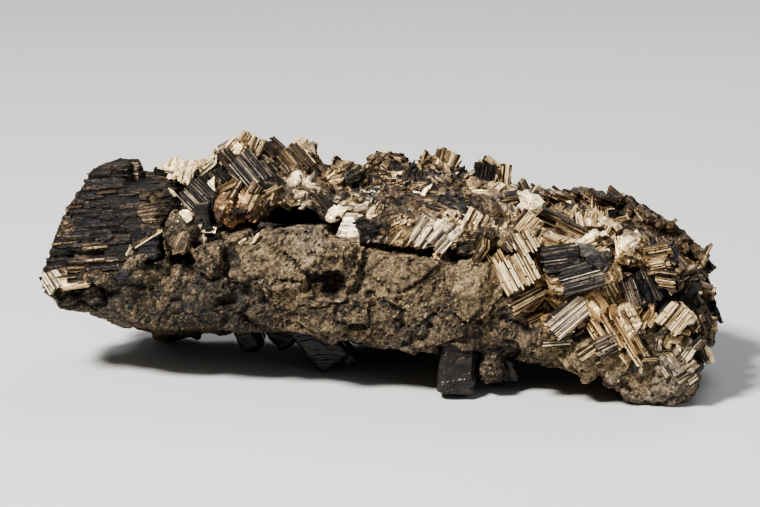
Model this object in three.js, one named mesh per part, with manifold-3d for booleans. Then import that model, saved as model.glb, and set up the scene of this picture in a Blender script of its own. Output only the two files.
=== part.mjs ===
// A cassiterite specimen: a long slab of granular matrix with black cassiterite crystals on its
// underside and a crust of bladed, striated crystals over its top and its right end.
// Millimetres, +Z up. X runs along the slab, -Y is its broken front, and it rests on Z = 0.
import * as THREE from "three";
import { mergeVertices } from "three/addons/utils/BufferGeometryUtils.js";
import { ConvexGeometry } from "three/addons/geometries/ConvexGeometry.js";
import Module from "manifold-3d";

const wasm = await Module();
wasm.setup();

const SEAT_GAP = 0.5; // clearance between a crystal and the socket that holds it
const RING_STEP = 9; // spacing of the slab's cross-sections along its length
const SLAB_ROUGHNESS = 1.4; // how far a section's corners stray from the smooth slab
const CRUST_ROUGHNESS = 0.7; // the same for the crust
const FLOOR_DEPTH = 20; // thickness of the block that trims the feet flat
const SIMPLIFY = 0.2; // slivers thinner than this are merged away
const WELD = 2e-3; // corners closer than this become one

const PLATE_LAP = 0.12; // share of its thickness by which a plate reaches into the next

const COLOURS = {
  matrix: { color: 0x7d6849, roughness: 0.9, metalness: 0 },
  blades: { color: 0x6e5c44, roughness: 0.4, metalness: 0.4 },
  ridge: { color: 0x4a3b2b, roughness: 0.6, metalness: 0.2 },
  block: { color: 0x35291e, roughness: 0.45, metalness: 0.3 },
  pale: { color: 0xd8cfba, roughness: 0.35, metalness: 0.2 },
  buff: { color: 0xa9784a, roughness: 0.6, metalness: 0 },
  cassiterite: { color: 0x14120f, roughness: 0.2, metalness: 0.1 },
};

// ---- The slab's outline: [place along the length, height or reach] ----

const LOWER_EDGE = [
  [-76, 19], [-70, 16.8], [-58, 15.6], [-50, 14.5], [-43, 13.5], [-37, 15.5], [-26, 14.5], [-15, 12.5],
  [3, 11.5], [8, 10.5], [27, 9.5], [38, 9], [42, 6.5], [50, 4.5], [59, 1.5], [68, 1], [73, 5], [77, 12],
];
const UNDERSIDE = [
  [-76, 18], [-66, 12], [-58, 6], [-52, 3.4], [-44, 3.4], [-36, 5], [20, 4.5], [50, 3.5], [66, 2], [77, 9],
];
const FRONT_RIM = [
  [-76, 23], [-64, 22.5], [-58, 24], [-52, 27.5], [-44, 29.5], [-38.5, 29.5], [-36, 31], [-30, 33],
  [-26, 34.3], [-22.5, 35.8], [-18.5, 37], [-10, 37], [-4, 33.8], [8, 33.5], [19, 33], [30, 32],
  [52, 31.5], [63, 28.5], [70, 24], [77, 17],
];
const CREST = [
  [-76, 25], [-68, 32], [-60, 37], [-50, 40], [-42, 44], [-36, 46.5], [-29, 49], [-20, 47], [-14, 44.5],
  [0, 44], [14, 45], [22, 44.5], [27, 41.5], [36, 38.5], [48, 37.5], [57, 34], [63, 31.5], [70, 27],
  [77, 17],
];
const FRONT_REACH = [
  [-76, -15], [-70, -19], [-60, -22], [-40, -24], [26, -24.5], [33, -19.5], [60, -19.5], [68, -16],
  [77, -9],
];
const BACK_REACH = [
  [-76, -5], [-70, 7], [-60, 15], [-45, 23], [-25, 26], [0, 27], [55, 27], [68, 24], [77, 13],
];
const SLAB_ENDS = [-74, 75];
const BLADE_COVER = 6.5; // depth of the bladed crust at the crest
const THINNEST_COVER = 3.5; // its depth where the crest comes down to the rim

// How much of the slab's depth the crust covers, in front of its middle and behind it. Behind the
// middle it draws back from x 26 on, where the ridge takes its place.
const COVER_IN_FRONT = [[-50, 0.7], [-12, 0.74], [4, 0.92], [77, 0.95]];
const COVER_BEHIND = [[-50, 0.88], [26, 0.88], [36, 0.35], [77, 0.35]];

// ---- Small tools ----

function random(seed) {
  let state = seed * 2654435761;
  return (low = 0, high = 1) => {
    state = (state + 0x6d2b79f5) | 0;
    let t = Math.imul(state ^ (state >>> 15), 1 | state);
    t = (t + Math.imul(t ^ (t >>> 7), 61 | t)) ^ t;
    return low + (high - low) * (((t ^ (t >>> 14)) >>> 0) / 4294967296);
  };
}

function along(list, x) {
  const i = list.findIndex((entry) => entry[0] > x);
  if (i === 0) return list[0][1];
  if (i < 0) return list[list.length - 1][1];
  const [x0, v0] = list[i - 1];
  const [x1, v1] = list[i];
  return v0 + ((v1 - v0) * (x - x0)) / (x1 - x0);
}

function solid(geometry, weld = 1e-4) {
  const bare = geometry.clone();
  bare.deleteAttribute("normal");
  bare.deleteAttribute("uv");
  const merged = mergeVertices(bare, weld);
  return new wasm.Manifold(
    new wasm.Mesh({
      numProp: 3,
      vertProperties: merged.attributes.position.array,
      triVerts: new Uint32Array(merged.index.array),
    }),
  );
}

function geometryOf(made) {
  const mesh = made.getMesh();
  return new THREE.BufferGeometry()
    .setAttribute("position", new THREE.BufferAttribute(new Float32Array(mesh.vertProperties), mesh.numProp))
    .setIndex(new THREE.BufferAttribute(mesh.triVerts, 1));
}

function union(solids) {
  return solids.reduce((sum, one) => sum.add(one));
}

function largest(made) {
  return made.decompose().sort((a, b) => b.volume() - a.volume())[0];
}

// Yaw turns a face to the right, pitch turns it up, and spin lifts its right side.
function placing([x, y, z], [yaw, pitch, spin]) {
  const rad = THREE.MathUtils.degToRad;
  return new THREE.Matrix4()
    .makeTranslation(x, y, z)
    .multiply(new THREE.Matrix4().makeRotationZ(rad(yaw)))
    .multiply(new THREE.Matrix4().makeRotationX(rad(-pitch)))
    .multiply(new THREE.Matrix4().makeRotationY(rad(-spin)));
}

// ---- Shapes ----

// A closed skin through rings of points, with each end closed by a fan.
function loft(rings) {
  const count = rings[0].length;
  const points = rings.flat();
  const index = [];
  for (let r = 0; r + 1 < rings.length; r++) {
    for (let i = 0; i < count; i++) {
      const a = r * count + i;
      const b = r * count + ((i + 1) % count);
      index.push(a, a + count, b, b, a + count, b + count);
    }
  }
  for (const [ring, flip] of [[0, true], [rings.length - 1, false]]) {
    const middle = points.length;
    const sum = new THREE.Vector3();
    rings[ring].forEach((p) => sum.add(p));
    points.push(sum.divideScalar(count));
    for (let i = 0; i < count; i++) {
      const a = ring * count + i;
      const b = ring * count + ((i + 1) % count);
      index.push(...(flip ? [middle, a, b] : [middle, b, a]));
    }
  }
  return new THREE.BufferGeometry().setFromPoints(points).setIndex(index);
}

// Rings of a cross-section function, each corner moved a little at random. Growing moves the
// corners out of the section, and the end rings outward.
function rings(from, to, section, roughness, seed, grow = 0) {
  const rand = random(seed);
  const steps = Math.max(2, Math.round((to - from) / RING_STEP));
  return Array.from({ length: steps + 1 }, (_, i) => {
    const x = from + ((to - from) * i) / steps;
    const outward = i === 0 ? -grow : i === steps ? grow : 0;
    const corners = section(x).map(
      ([y, z]) =>
        new THREE.Vector3(
          x + rand(-1, 1) * roughness + 2 * outward,
          y + rand(-1, 1) * roughness,
          z + rand(-1, 1) * roughness,
        ),
    );
    const outwards = corners.map((_, k) => {
      const before = corners[(k + corners.length - 1) % corners.length];
      const after = corners[(k + 1) % corners.length];
      return new THREE.Vector3(0, before.z - after.z, after.y - before.y).normalize();
    });
    corners.forEach((p, k) => p.addScaledVector(outwards[k], 2.4 * grow));
    return corners;
  });
}

// A rounded stone: the hull of points spread over an ellipsoid.
function lump({ at, size, seed, corners = 11 }, grow = 0) {
  const rand = random(seed);
  const points = [];
  for (let i = 0; i < corners; i++) {
    const height = 1 - (2 * (i + 0.5)) / corners;
    const angle = i * 2.4 + rand(-0.35, 0.35);
    const around = Math.sqrt(1 - height * height);
    const reach = rand(0.85, 1.12);
    points.push(
      new THREE.Vector3(
        at[0] + (size[0] * reach + grow) * around * Math.cos(angle),
        at[1] + (size[1] * reach + grow) * around * Math.sin(angle),
        at[2] + (size[2] * reach + grow) * height,
      ),
    );
  }
  return solid(new ConvexGeometry(points));
}

// One plate with a ragged many-sided outline, lying in its own XY plane from `low` to `high`.
function plate(width, depth, low, high, corners, rand) {
  const outline = new THREE.Shape(
    Array.from({ length: corners }, (_, i) => {
      const angle = ((i + rand(-0.22, 0.22)) * 2 * Math.PI) / corners;
      const reach = rand(0.86, 1.1);
      return new THREE.Vector2(
        (width / 2) * reach * Math.cos(angle),
        (depth / 2) * reach * Math.sin(angle),
      );
    }),
  );
  return new THREE.ExtrudeGeometry(outline, { depth: high - low, bevelEnabled: false }).translate(0, 0, low);
}

// A book of stacked plates. Its striped edge faces outward, with the stripes along its width.
function book({ at, size: [width, height, depth], turn, plates = 2, seed, corners = 5 }, grow = 0) {
  const rand = random(seed);
  const lift = height / plates;
  const stack = [];
  for (let i = 0; i < plates; i++) {
    const shrink = rand(0.78, 1);
    const shift = [rand(-0.06, 0.06) * width, rand(-0.06, 0.06) * depth];
    const low = -height / 2 + (i ? (i - PLATE_LAP) * lift : 0) - grow;
    const high = -height / 2 + (i + 1 < plates ? i + 1 + PLATE_LAP : plates) * lift + grow;
    stack.push(
      plate(width * shrink + 2 * grow, depth * shrink + 2 * grow, low, high, corners, rand)
        .translate(shift[0], shift[1], 0)
        .applyMatrix4(placing(at, turn)),
    );
  }
  return union(stack.map(solid));
}

// A slab of matrix broken to a straight-sided outline, drawn in X and Z, with its face at `face`.
function brokenSlab({ outline, face, thick, turn = [0, 0, 0] }) {
  const middle = [0, 1].map((k) => outline.reduce((sum, p) => sum + p[k], 0) / outline.length);
  const shape = new THREE.Shape(outline.map(([x, z]) => new THREE.Vector2(x - middle[0], z - middle[1])));
  const geometry = new THREE.ExtrudeGeometry(shape, { depth: thick, bevelEnabled: false })
    .rotateX(Math.PI / 2)
    .translate(0, thick, 0);
  return solid(geometry.applyMatrix4(placing([middle[0], face, middle[1]], turn)));
}

// A four-sided crystal with cut-off edges and a low pyramid on its outer end.
function cassiterite({ at, size: [width, depth, length], turn, tip = 0.28, edge = 0.2 }, grow = 0) {
  const points = [];
  const half = [width / 2 + grow, depth / 2 + grow];
  const ring = (z, scale) => {
    for (const [sx, sy] of [[1, 1], [-1, 1], [-1, -1], [1, -1]]) {
      points.push(new THREE.Vector3(sx * half[0] * scale, sy * half[1] * scale * (1 - edge), z));
      points.push(new THREE.Vector3(sx * half[0] * scale * (1 - edge), sy * half[1] * scale, z));
    }
  };
  ring(-length / 2 - grow, 0.9);
  ring(length / 2 - tip * length + grow, 1);
  ring(length / 2 + grow, 0.42);
  return solid(new ConvexGeometry(points).applyMatrix4(placing(at, turn)));
}

// ---- Matrix ----

// The slab's own top, under the bladed crust.
function slabTop(x) {
  const crest = along(CREST, x);
  return Math.min(Math.max(along(FRONT_RIM, x) + 0.5, crest - BLADE_COVER), crest - THINNEST_COVER);
}

function slabSection(x) {
  const front = along(FRONT_REACH, x);
  const back = along(BACK_REACH, x);
  const low = along(LOWER_EDGE, x);
  const rim = along(FRONT_RIM, x);
  const top = slabTop(x);
  const under = Math.min(low, along(UNDERSIDE, x));
  const middle = (front + back) / 2;
  const half = (back - front) / 2;
  return [
    [front + 3.5, low],
    [front + 0.6, low + 0.3 * (rim - low)],
    [front, low + 0.65 * (rim - low)],
    [front + 1.2, rim],
    [middle - 0.45 * half, Math.min(top, rim + 2.5)],
    [middle, top],
    [middle + 0.5 * half, top - 1],
    [back - 2, top - 0.25 * (top - under)],
    [back, under + 0.5 * (top - under)],
    [back - 3, under + 1.5],
    [middle + 0.45 * half, under],
    [middle - 0.2 * half, 0.5 * (under + low)],
  ];
}

function slab(grow = 0) {
  return solid(loft(rings(...SLAB_ENDS, slabSection, SLAB_ROUGHNESS, 2, grow)));
}

const FEET = [
  { at: [64, -15, 6.5], size: [12, 9, 8], seed: 3, corners: 14 },
  { at: [-50, 15.5, 6.5], size: [10, 8, 7.6], seed: 4, corners: 14 },
  { at: [54, 14, 5.5], size: [15, 12, 7.2], seed: 5 },
  { at: [2, 17, 5.5], size: [17, 9, 6.8], seed: 6 },
];

const FRONT_LUMPS = [
  { at: [-66, -14, 20], size: [7.5, 6.5, 5.5], seed: 11 },
  { at: [-56, -16, 20.5], size: [9, 7, 5.5], seed: 12 },
  { at: [-57, -20, 25.2], size: [7.5, 7, 4.4], seed: 30 },
  { at: [-50, -21, 29], size: [7.5, 7, 5.4], seed: 13 },
  { at: [-44.5, -20.5, 34.5], size: [5.4, 6.6, 6.4], seed: 29 },
  { at: [-43, -17, 18], size: [8.5, 7, 5.5], seed: 14 },
  { at: [-34, -20, 22], size: [7, 5.5, 5.5], seed: 15 },
  { at: [-22, -20, 18.5], size: [9, 6, 4.5], seed: 16 },
  { at: [-9, -20, 16], size: [8, 6, 4.8], seed: 17 },
  { at: [4, -19, 17], size: [7.5, 6.5, 6], seed: 18 },
  { at: [9, -21, 26.5], size: [6.5, 4.5, 5], seed: 19 },
  { at: [21.5, -20.5, 26], size: [6.8, 6, 5.6], seed: 20 },
  { at: [16, -18, 13.5], size: [9, 6.5, 5], seed: 21 },
  { at: [29, -16, 14.5], size: [7, 7, 6], seed: 22 },
  { at: [27.6, -17.5, 6.6], size: [5, 5, 4.8], seed: 27 },
  { at: [39.5, -19, 14], size: [7, 6.5, 6.5], seed: 23 },
  { at: [48.5, -19, 11], size: [8, 7, 6.5], seed: 24 },
  { at: [58, -18, 9.5], size: [7.5, 7.5, 8], seed: 25 },
  { at: [70, -14, 12], size: [6.5, 8, 8], seed: 26 },
];

const BACK_LUMPS = [
  { at: [-63, 6, 22.5], size: [10, 9, 8], seed: 141 },
  { at: [-42, 19, 25], size: [11, 8, 9], seed: 142 },
  { at: [-20, 21.5, 20], size: [12, 7.5, 9], seed: 143 },
  { at: [-2, 22.5, 27], size: [10, 6.5, 8], seed: 144 },
  { at: [17, 22.5, 17], size: [12, 6.5, 10], seed: 145 },
  { at: [38, 22, 13], size: [12, 7, 8.5], seed: 146 },
  { at: [63, 18, 12], size: [10, 9, 8.5], seed: 147 },
];

const FRONT_SLABS = [
  {
    outline: [[-32.5, 28], [-19.5, 38.5], [-15.5, 33.5], [-12, 28], [-14, 24.5], [-23, 24.5]],
    face: -25.6,
    thick: 7,
    turn: [-4, 3, 0],
  },
  {
    outline: [[-18.5, 38.3], [-9, 38.5], [-9, 35.5], [-11.4, 29.5], [-15, 33.2]],
    face: -25,
    thick: 6,
    turn: [6, 6, 0],
  },
  {
    outline: [[-11.5, 30.5], [-8, 35.3], [-4, 34.2], [-3.2, 30.5], [-5.5, 28], [-9.5, 27.3]],
    face: -26.2,
    thick: 6,
    turn: [3, -4, 0],
  },
  {
    outline: [[-5, 27.5], [-3.6, 34], [-0.6, 31.3], [-0.2, 26.5], [-4, 24.2]],
    face: -25.2,
    thick: 5,
    turn: [10, 2, 0],
  },
  {
    outline: [[-38.5, 32.5], [-36, 34.5], [-30.8, 34.5], [-31.3, 30], [-34, 26.5], [-38, 28.5]],
    face: -25.8,
    thick: 6,
    turn: [-8, 5, 0],
  },
  {
    outline: [[-44.5, 39], [-41.5, 40.5], [-38.6, 37], [-38.3, 33.5], [-40, 31], [-43.5, 34]],
    face: -24.6,
    thick: 7,
    turn: [-12, 8, 0],
  },
  {
    outline: [[-14.5, 23.8], [-5, 24.5], [2, 23], [1, 17], [-8, 15.5], [-15, 18]],
    face: -25.4,
    thick: 6,
    turn: [2, -9, 0],
  },
  { outline: [[2.5, 24], [12, 25.5], [16, 21], [13, 15], [5, 15]], face: -24.8, thick: 6, turn: [5, -8, 0] },
];

// Dark recesses broken into the front, cut back to a flat floor.
const RECESSES = [
  { outline: [[-11, 27.5], [-4.6, 29], [-4.4, 23.2], [-10.3, 22.6]], face: -32, thick: 9.2 },
  { outline: [[-31, 31.5], [-28.8, 31], [-30, 26.2], [-32.3, 27.4]], face: -32, thick: 10 },
  { outline: [[0.4, 34.6], [1.4, 34.6], [1.3, 27.5], [0.5, 27.5]], face: -32, thick: 12 },
  { outline: [[-34, 20.7], [-24, 23.2], [-23.5, 21.9], [-33, 19]], face: -32, thick: 9.5 },
  { outline: [[16.5, 31.8], [20.5, 33.5], [24.5, 32.2], [20, 30.9]], face: -32, thick: 12 },
];

// The long hollow under the crust's overhang, with the place of the buff crystal at its left end and
// that of the pale pyramid at its right end.
const HOLLOWS = [
  { at: [-30, -16, 38], size: [8.5, 9, 6.5], seed: 27 },
  { at: [-17, -15, 40], size: [10, 8.5, 4.2], seed: 28 },
  { at: [-4, -17, 37.4], size: [6, 6.5, 4.6], seed: 29 },
];
const END_HOLLOW = {
  outline: [[58.8, 31], [61.8, 31.2], [68, 23.2], [66, 21.5], [61, 25]],
  face: -32,
  thick: 13.5,
};

function hollows() {
  return union([...HOLLOWS.map((one) => lump(one)), brokenSlab(END_HOLLOW)]);
}

function matrix() {
  const stones = [...FEET, ...FRONT_LUMPS, ...BACK_LUMPS].map((one) => lump(one));
  const raised = union([slab(), ...stones, ...FRONT_SLABS.map(brokenSlab)]);
  return raised.subtract(union(RECESSES.map(brokenSlab)));
}

// ---- Crystals that stand on the matrix ----

const CASSITERITES = [
  { at: [-31.3, 5.3, 5.3], size: [5.4, 7, 7.6], turn: [-4, -6, -150], tip: 0.2, edge: 0.3 },
  { at: [-24.7, 9.1, 8.4], size: [7.8, 9, 12.5], turn: [-8, -5, -140], tip: 0.06 },
  { at: [-13.5, -2.7, 7.6], size: [8.4, 9.5, 13], turn: [8, -4, -141], tip: 0.05, edge: 0.16 },
  { at: [-6.9, -4.8, 5.5], size: [2.6, 3.2, 7], turn: [-5, -10, -150], tip: 0.12 },
  { at: [20, -17.2, 6.4], size: [8.4, 9.5, 12], turn: [9, 6, 176], tip: 0.06, edge: 0.24 },
  { at: [30.9, -12.7, 5.3], size: [4.4, 4.4, 7], turn: [-8, -20, -166], tip: 0.2, edge: 0.25 },
];

const BLOCK_OUTLINE = [
  [-73.2, 24.5], [-70.5, 33], [-66.8, 40.8], [-61.2, 49], [-57.6, 51], [-53.8, 50.4], [-53.4, 46.2],
  [-47.8, 45.4], [-44.6, 41], [-45.6, 30.8], [-52, 28], [-60, 24.6], [-66, 22.6], [-71, 22.5],
];
const BLOCK_DEPTH = 25;
const BLOCK_FACE = -22.5;
const BLOCK_MIDDLE = [-59, 38];
const BLOCK_TURN = [-9, 4, 0];
const BLOCK_BREAK = { at: [-51, 0.5, 51.5], size: [24, 20, 12], seed: 32 }; // broken from its top at the back
const LEDGES = 7;
const LOWEST_LEDGE = 29.5;
const LEDGE_RISE = 2.9;
const LEDGE_HEIGHT = 1.3;
const LEDGE_DEPTH = 0.9;

// The dark crystal at the left end: a block whose front is broken into level ledges.
function striatedBlock(grow = 0) {
  const swell = 1 + grow / 9;
  const outline = BLOCK_OUTLINE.map(
    ([x, z]) => new THREE.Vector2((x - BLOCK_MIDDLE[0]) * swell, (z - BLOCK_MIDDLE[1]) * swell),
  );
  const depth = BLOCK_DEPTH + 2 * grow;
  const geometry = new THREE.ExtrudeGeometry(new THREE.Shape(outline), { depth, bevelEnabled: false })
    .rotateX(Math.PI / 2)
    .translate(0, depth, 0)
    .applyMatrix4(placing([BLOCK_MIDDLE[0], BLOCK_FACE - grow, BLOCK_MIDDLE[1]], BLOCK_TURN));
  if (grow) return solid(geometry);

  const rand = random(31);
  const ledges = Array.from({ length: LEDGES }, (_, i) => {
    const z = LOWEST_LEDGE + i * LEDGE_RISE;
    const left = rand(-76, -64);
    const right = left + rand(8, 18);
    const outline = [[left, z], [right, z + 0.5], [right, z + LEDGE_HEIGHT + 0.4], [left, z + LEDGE_HEIGHT]];
    return brokenSlab({
      outline,
      face: BLOCK_FACE - 4,
      thick: 4 + LEDGE_DEPTH * rand(0.5, 1.4),
      turn: [BLOCK_TURN[0], BLOCK_TURN[1], 3],
    });
  });
  return largest(solid(geometry).subtract(union([...ledges, lump(BLOCK_BREAK)])));
}

const FAN = [
  { at: [-43.4, -7, 46.6], size: [5.5, 7.5, 6], turn: [-15, 10, 80], seed: 41 },
  { at: [-38.6, -6, 46.8], size: [6, 8, 7], turn: [5, 15, 96], seed: 42 },
  { at: [-37.8, -8.5, 42.3], size: [12, 3, 6], turn: [10, 25, 35], seed: 43 },
  { at: [-46.5, -6.5, 44], size: [7, 3.4, 7], turn: [-5, 20, -18], seed: 44 },
];

const BUFF = [
  { at: [-32, -12, 39.2], size: [4.6, 4.8, 5], seed: 51 },
  { at: [-27.2, -11.5, 40.4], size: [4.6, 4.6, 4.4], seed: 52 },
];

function fan(grow = 0) {
  return union(FAN.map((one) => book(one, grow)));
}

function buff(grow = 0) {
  return union(BUFF.map((one) => lump(one, grow)));
}

const PYRAMID = { at: [-3.6, -18, 36.5], size: [5.6, 5.6, 8], turn: [-8, -12, 0], tip: 0.5, edge: 0.04 };

// ---- The bladed crust: a layer over the slab, thick with books of plates ----

function crustSection(x) {
  const front = along(FRONT_REACH, x);
  const back = along(BACK_REACH, x);
  const rim = along(FRONT_RIM, x);
  const crest = along(CREST, x);
  const top = slabTop(x);
  const middle = (front + back) / 2;
  const half = (back - front) / 2;
  const cover = along(COVER_IN_FRONT, x);
  const reach = along(COVER_BEHIND, x);
  return [
    [middle - cover * half, rim + 1],
    [middle - (cover + 0.03) * half, rim + 0.4 * (crest - rim) + 2],
    [middle - 0.25 * half, crest - 1],
    [middle + 0.2 * half, crest],
    [middle + 0.85 * reach * half, crest - 3 * reach],
    [middle + reach * half, top - 1.2],
    [middle + 0.6 * reach * half, top - 3],
    [middle, top - 2],
  ];
}

// Books scattered over part of the crust: how many, where, how large and which way they lie.
function scatter({ count, x, y, sink, size, turn, sway, seed }) {
  const rand = random(seed);
  return Array.from({ length: count }, (_, i) => {
    const px = x[0] + ((x[1] - x[0]) * (i + rand(0.15, 0.85))) / count;
    const py = rand(...y);
    const shape = crustSection(px);
    const front = shape[1];
    const share = THREE.MathUtils.clamp((py - front[0]) / (shape[3][0] - front[0]), 0, 1);
    const pz = front[1] + share * (shape[3][1] - front[1]) - sink;
    const scale = rand(0.75, 1.2);
    return {
      at: [px, py, pz],
      size: size.map((one) => one * scale * rand(0.85, 1.15)),
      turn: turn.map((angle) => angle + rand(-sway, sway)),
      seed: seed * 100 + i,
    };
  });
}

const CRUST_SPAN = [-50, 71];

const SCATTERED = [
  // the left peak, in front and behind
  { count: 5, x: [-40, -14], y: [-9, 0], sink: 1.5, size: [15, 5, 12], turn: [-10, 15, -48], sway: 13, seed: 6 },
  { count: 3, x: [-42, -14], y: [6, 16], sink: 2, size: [14, 5, 12], turn: [10, 35, -20], sway: 22, seed: 7 },
  // the middle, from the front to the back
  { count: 3, x: [-10, 26], y: [-12, -8], sink: 2, size: [11, 5, 9], turn: [0, 30, 35], sway: 35, seed: 72 },
  { count: 3, x: [-12, 26], y: [0, 8], sink: 1.6, size: [13, 5, 11], turn: [5, 25, -30], sway: 30, seed: 73 },
  { count: 3, x: [-8, 26], y: [14, 19], sink: 3.2, size: [13, 7, 11], turn: [15, 15, 70], sway: 25, seed: 9 },
  // the right end's top
  { count: 3, x: [38, 68], y: [0, 9], sink: 2.6, size: [15, 4, 12], turn: [0, 5, -18], sway: 10, seed: 83 },
];

const PEAK_BOOKS = [
  { at: [-31, -1, 50], size: [7, 6.5, 7], turn: [0, 15, 58], seed: 64 },
  { at: [-17, -15, 41.5], size: [9, 5, 8], turn: [10, 20, 40], seed: 65 },
];

const MIDDLE_BOOKS = [
  { at: [10.9, -18.5, 35], size: [9, 6, 8], turn: [0, 15, 50], seed: 75 },
  { at: [15.6, -12, 39.6], size: [8, 5, 8], turn: [5, 25, 60], seed: 76 },
  { at: [23, -19, 36], size: [9, 5, 8], turn: [0, 20, 20], seed: 77 },
];

// From the right end's top down its front.
const RIGHT_BOOKS = [
  { at: [35.5, -12.5, 41.6], size: [6.5, 4.5, 7], turn: [0, 40, -40], plates: 1, seed: 84 },
  { at: [35.4, -17.5, 39.6], size: [6, 5.5, 7], turn: [0, 15, 48], seed: 85 },
  { at: [46, -6, 36.4], size: [21, 3.5, 15], turn: [0, -14, -8], seed: 86 },
  { at: [50.5, -16.5, 36], size: [7, 4.5, 7], turn: [10, 30, 35], plates: 1, seed: 87 },
  { at: [58, -16, 35.4], size: [7, 4.5, 7], turn: [15, 25, -25], plates: 1, seed: 88 },
  { at: [35.7, -20.5, 36], size: [6, 5, 7], turn: [0, 10, -62], seed: 89 },
  { at: [34, -22, 30.6], size: [8.5, 8.5, 7], turn: [-5, 5, -55], seed: 90 },
  { at: [44.9, -22, 31.4], size: [12, 7.5, 7], turn: [3, 5, 15], seed: 91 },
  { at: [53, -21.5, 31.5], size: [7, 7, 7], turn: [8, 8, 25], seed: 92 },
  { at: [45.2, -22, 20.7], size: [10, 5, 7.5], turn: [2, 6, 47], seed: 93 },
  { at: [50.6, -22, 23], size: [8, 3.4, 7], turn: [8, 8, -55], plates: 1, seed: 94 },
  { at: [53.8, -22, 15.9], size: [6.5, 5.5, 7], turn: [5, 3, 25], seed: 95 },
  { at: [58.4, -21.5, 19], size: [12, 4.5, 7.5], turn: [14, 5, -63], plates: 1, seed: 96 },
  { at: [64.6, -17.5, 31], size: [6, 8.5, 8], turn: [20, 15, -5], seed: 97 },
  { at: [68.4, -18.5, 20.6], size: [7, 6.5, 8], turn: [24, 8, 50], seed: 98 },
  { at: [72.5, -13.5, 17.5], size: [7, 6, 8], turn: [45, 5, -60], plates: 1, seed: 99 },
];

// The right end's front, under its books.
const END_FACE = [
  { at: [35, -15, 27], size: [8, 8.5, 9], seed: 121 },
  { at: [46, -14.5, 25.5], size: [9.5, 9, 11], seed: 122 },
  { at: [57.5, -14, 22], size: [9.5, 8.5, 12], seed: 123 },
  { at: [67.5, -10, 19], size: [8, 9.5, 10], seed: 124 },
];

const RIDGE_BOOKS = [
  { at: [35, 17, 35.6], size: [19, 7, 15], turn: [0, 8, -4], seed: 101 },
  { at: [47, 18, 34.6], size: [20, 8.5, 15], turn: [-3, 10, -8], seed: 102 },
  { at: [59, 16.5, 30.4], size: [17, 8.5, 16], turn: [5, 12, -26], seed: 103 },
  { at: [68, 13.5, 24.5], size: [15, 8.5, 15], turn: [12, 8, -42], seed: 104 },
  { at: [72, 9.5, 17], size: [14, 7, 13], turn: [15, 0, -74], seed: 105 },
  { at: [53, 20, 24], size: [24, 9, 10], turn: [0, 0, -12], seed: 106 },
  { at: [70.5, 15, 26], size: [6, 5, 6], turn: [0, 10, 60], seed: 107 },
];

function ridge(grow = 0) {
  return union(RIDGE_BOOKS.map((one) => book(one, grow)));
}

// The crust's books stop at the slab's surface, so only its core is let into the slab.
function crust(grow = 0) {
  const core = solid(loft(rings(...CRUST_SPAN, crustSection, CRUST_ROUGHNESS, 61, grow)));
  const face = END_FACE.map((one) => lump(one, grow));
  const all = [...SCATTERED.flatMap(scatter), ...PEAK_BOOKS, ...MIDDLE_BOOKS, ...RIGHT_BOOKS];
  const books = union(all.map((one) => book(one, grow))).subtract(slab(SEAT_GAP - grow));
  return union([core, ...face, books]);
}

// ---- Assembly: each piece gives way to those before it, with the seat gap between ----

const placed = [];
const group = new THREE.Group();

function place(name, finish, made, grown) {
  const cleared = placed.reduce((left, socket) => left.subtract(socket), made);
  const floor = solid(new THREE.BoxGeometry(400, 400, FLOOR_DEPTH).translate(0, 0, -FLOOR_DEPTH / 2));
  const trimmed = largest(cleared.subtract(floor)).simplify(SIMPLIFY);
  const geometry = geometryOf(largest(solid(geometryOf(trimmed), WELD)));
  geometry.computeVertexNormals();
  if (grown) placed.push(grown);
  const piece = new THREE.Mesh(geometry, new THREE.MeshStandardMaterial(COLOURS[finish]));
  piece.name = name;
  group.add(piece);
}

CASSITERITES.forEach((one, i) => {
  place(`cassiterite_crystal_${i + 1}`, "cassiterite", cassiterite(one), cassiterite(one, SEAT_GAP));
});
place("striated_crystal_left", "block", striatedBlock(), striatedBlock(SEAT_GAP));
place("pale_fan_crystal", "pale", fan(), fan(SEAT_GAP));
place("buff_crystal", "buff", buff(), buff(SEAT_GAP));
place("pyramid_crystal", "pale", cassiterite(PYRAMID), cassiterite(PYRAMID, SEAT_GAP));
place("bladed_crust", "blades", crust().subtract(hollows()), crust(SEAT_GAP));
place("bladed_ridge_back", "ridge", ridge(), ridge(SEAT_GAP));
place("matrix", "matrix", matrix().subtract(hollows()));

// The origin is the middle of the footprint, on the resting plane.
const box = new THREE.Box3().setFromObject(group);
group.position.set(-(box.min.x + box.max.x) / 2, -(box.min.y + box.max.y) / 2, -box.min.z);

export default group;
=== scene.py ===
"""A cassiterite specimen: a granular slab of matrix with glossy black crystals below it and a crust
of bladed, striated plates over its top and its right end. Lengths are in metres, and in millimetres
where a comment says so."""
import math
from itertools import product

import bmesh
import bpy
import numpy as np
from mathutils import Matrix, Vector
from mathutils.bvhtree import BVHTree


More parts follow.
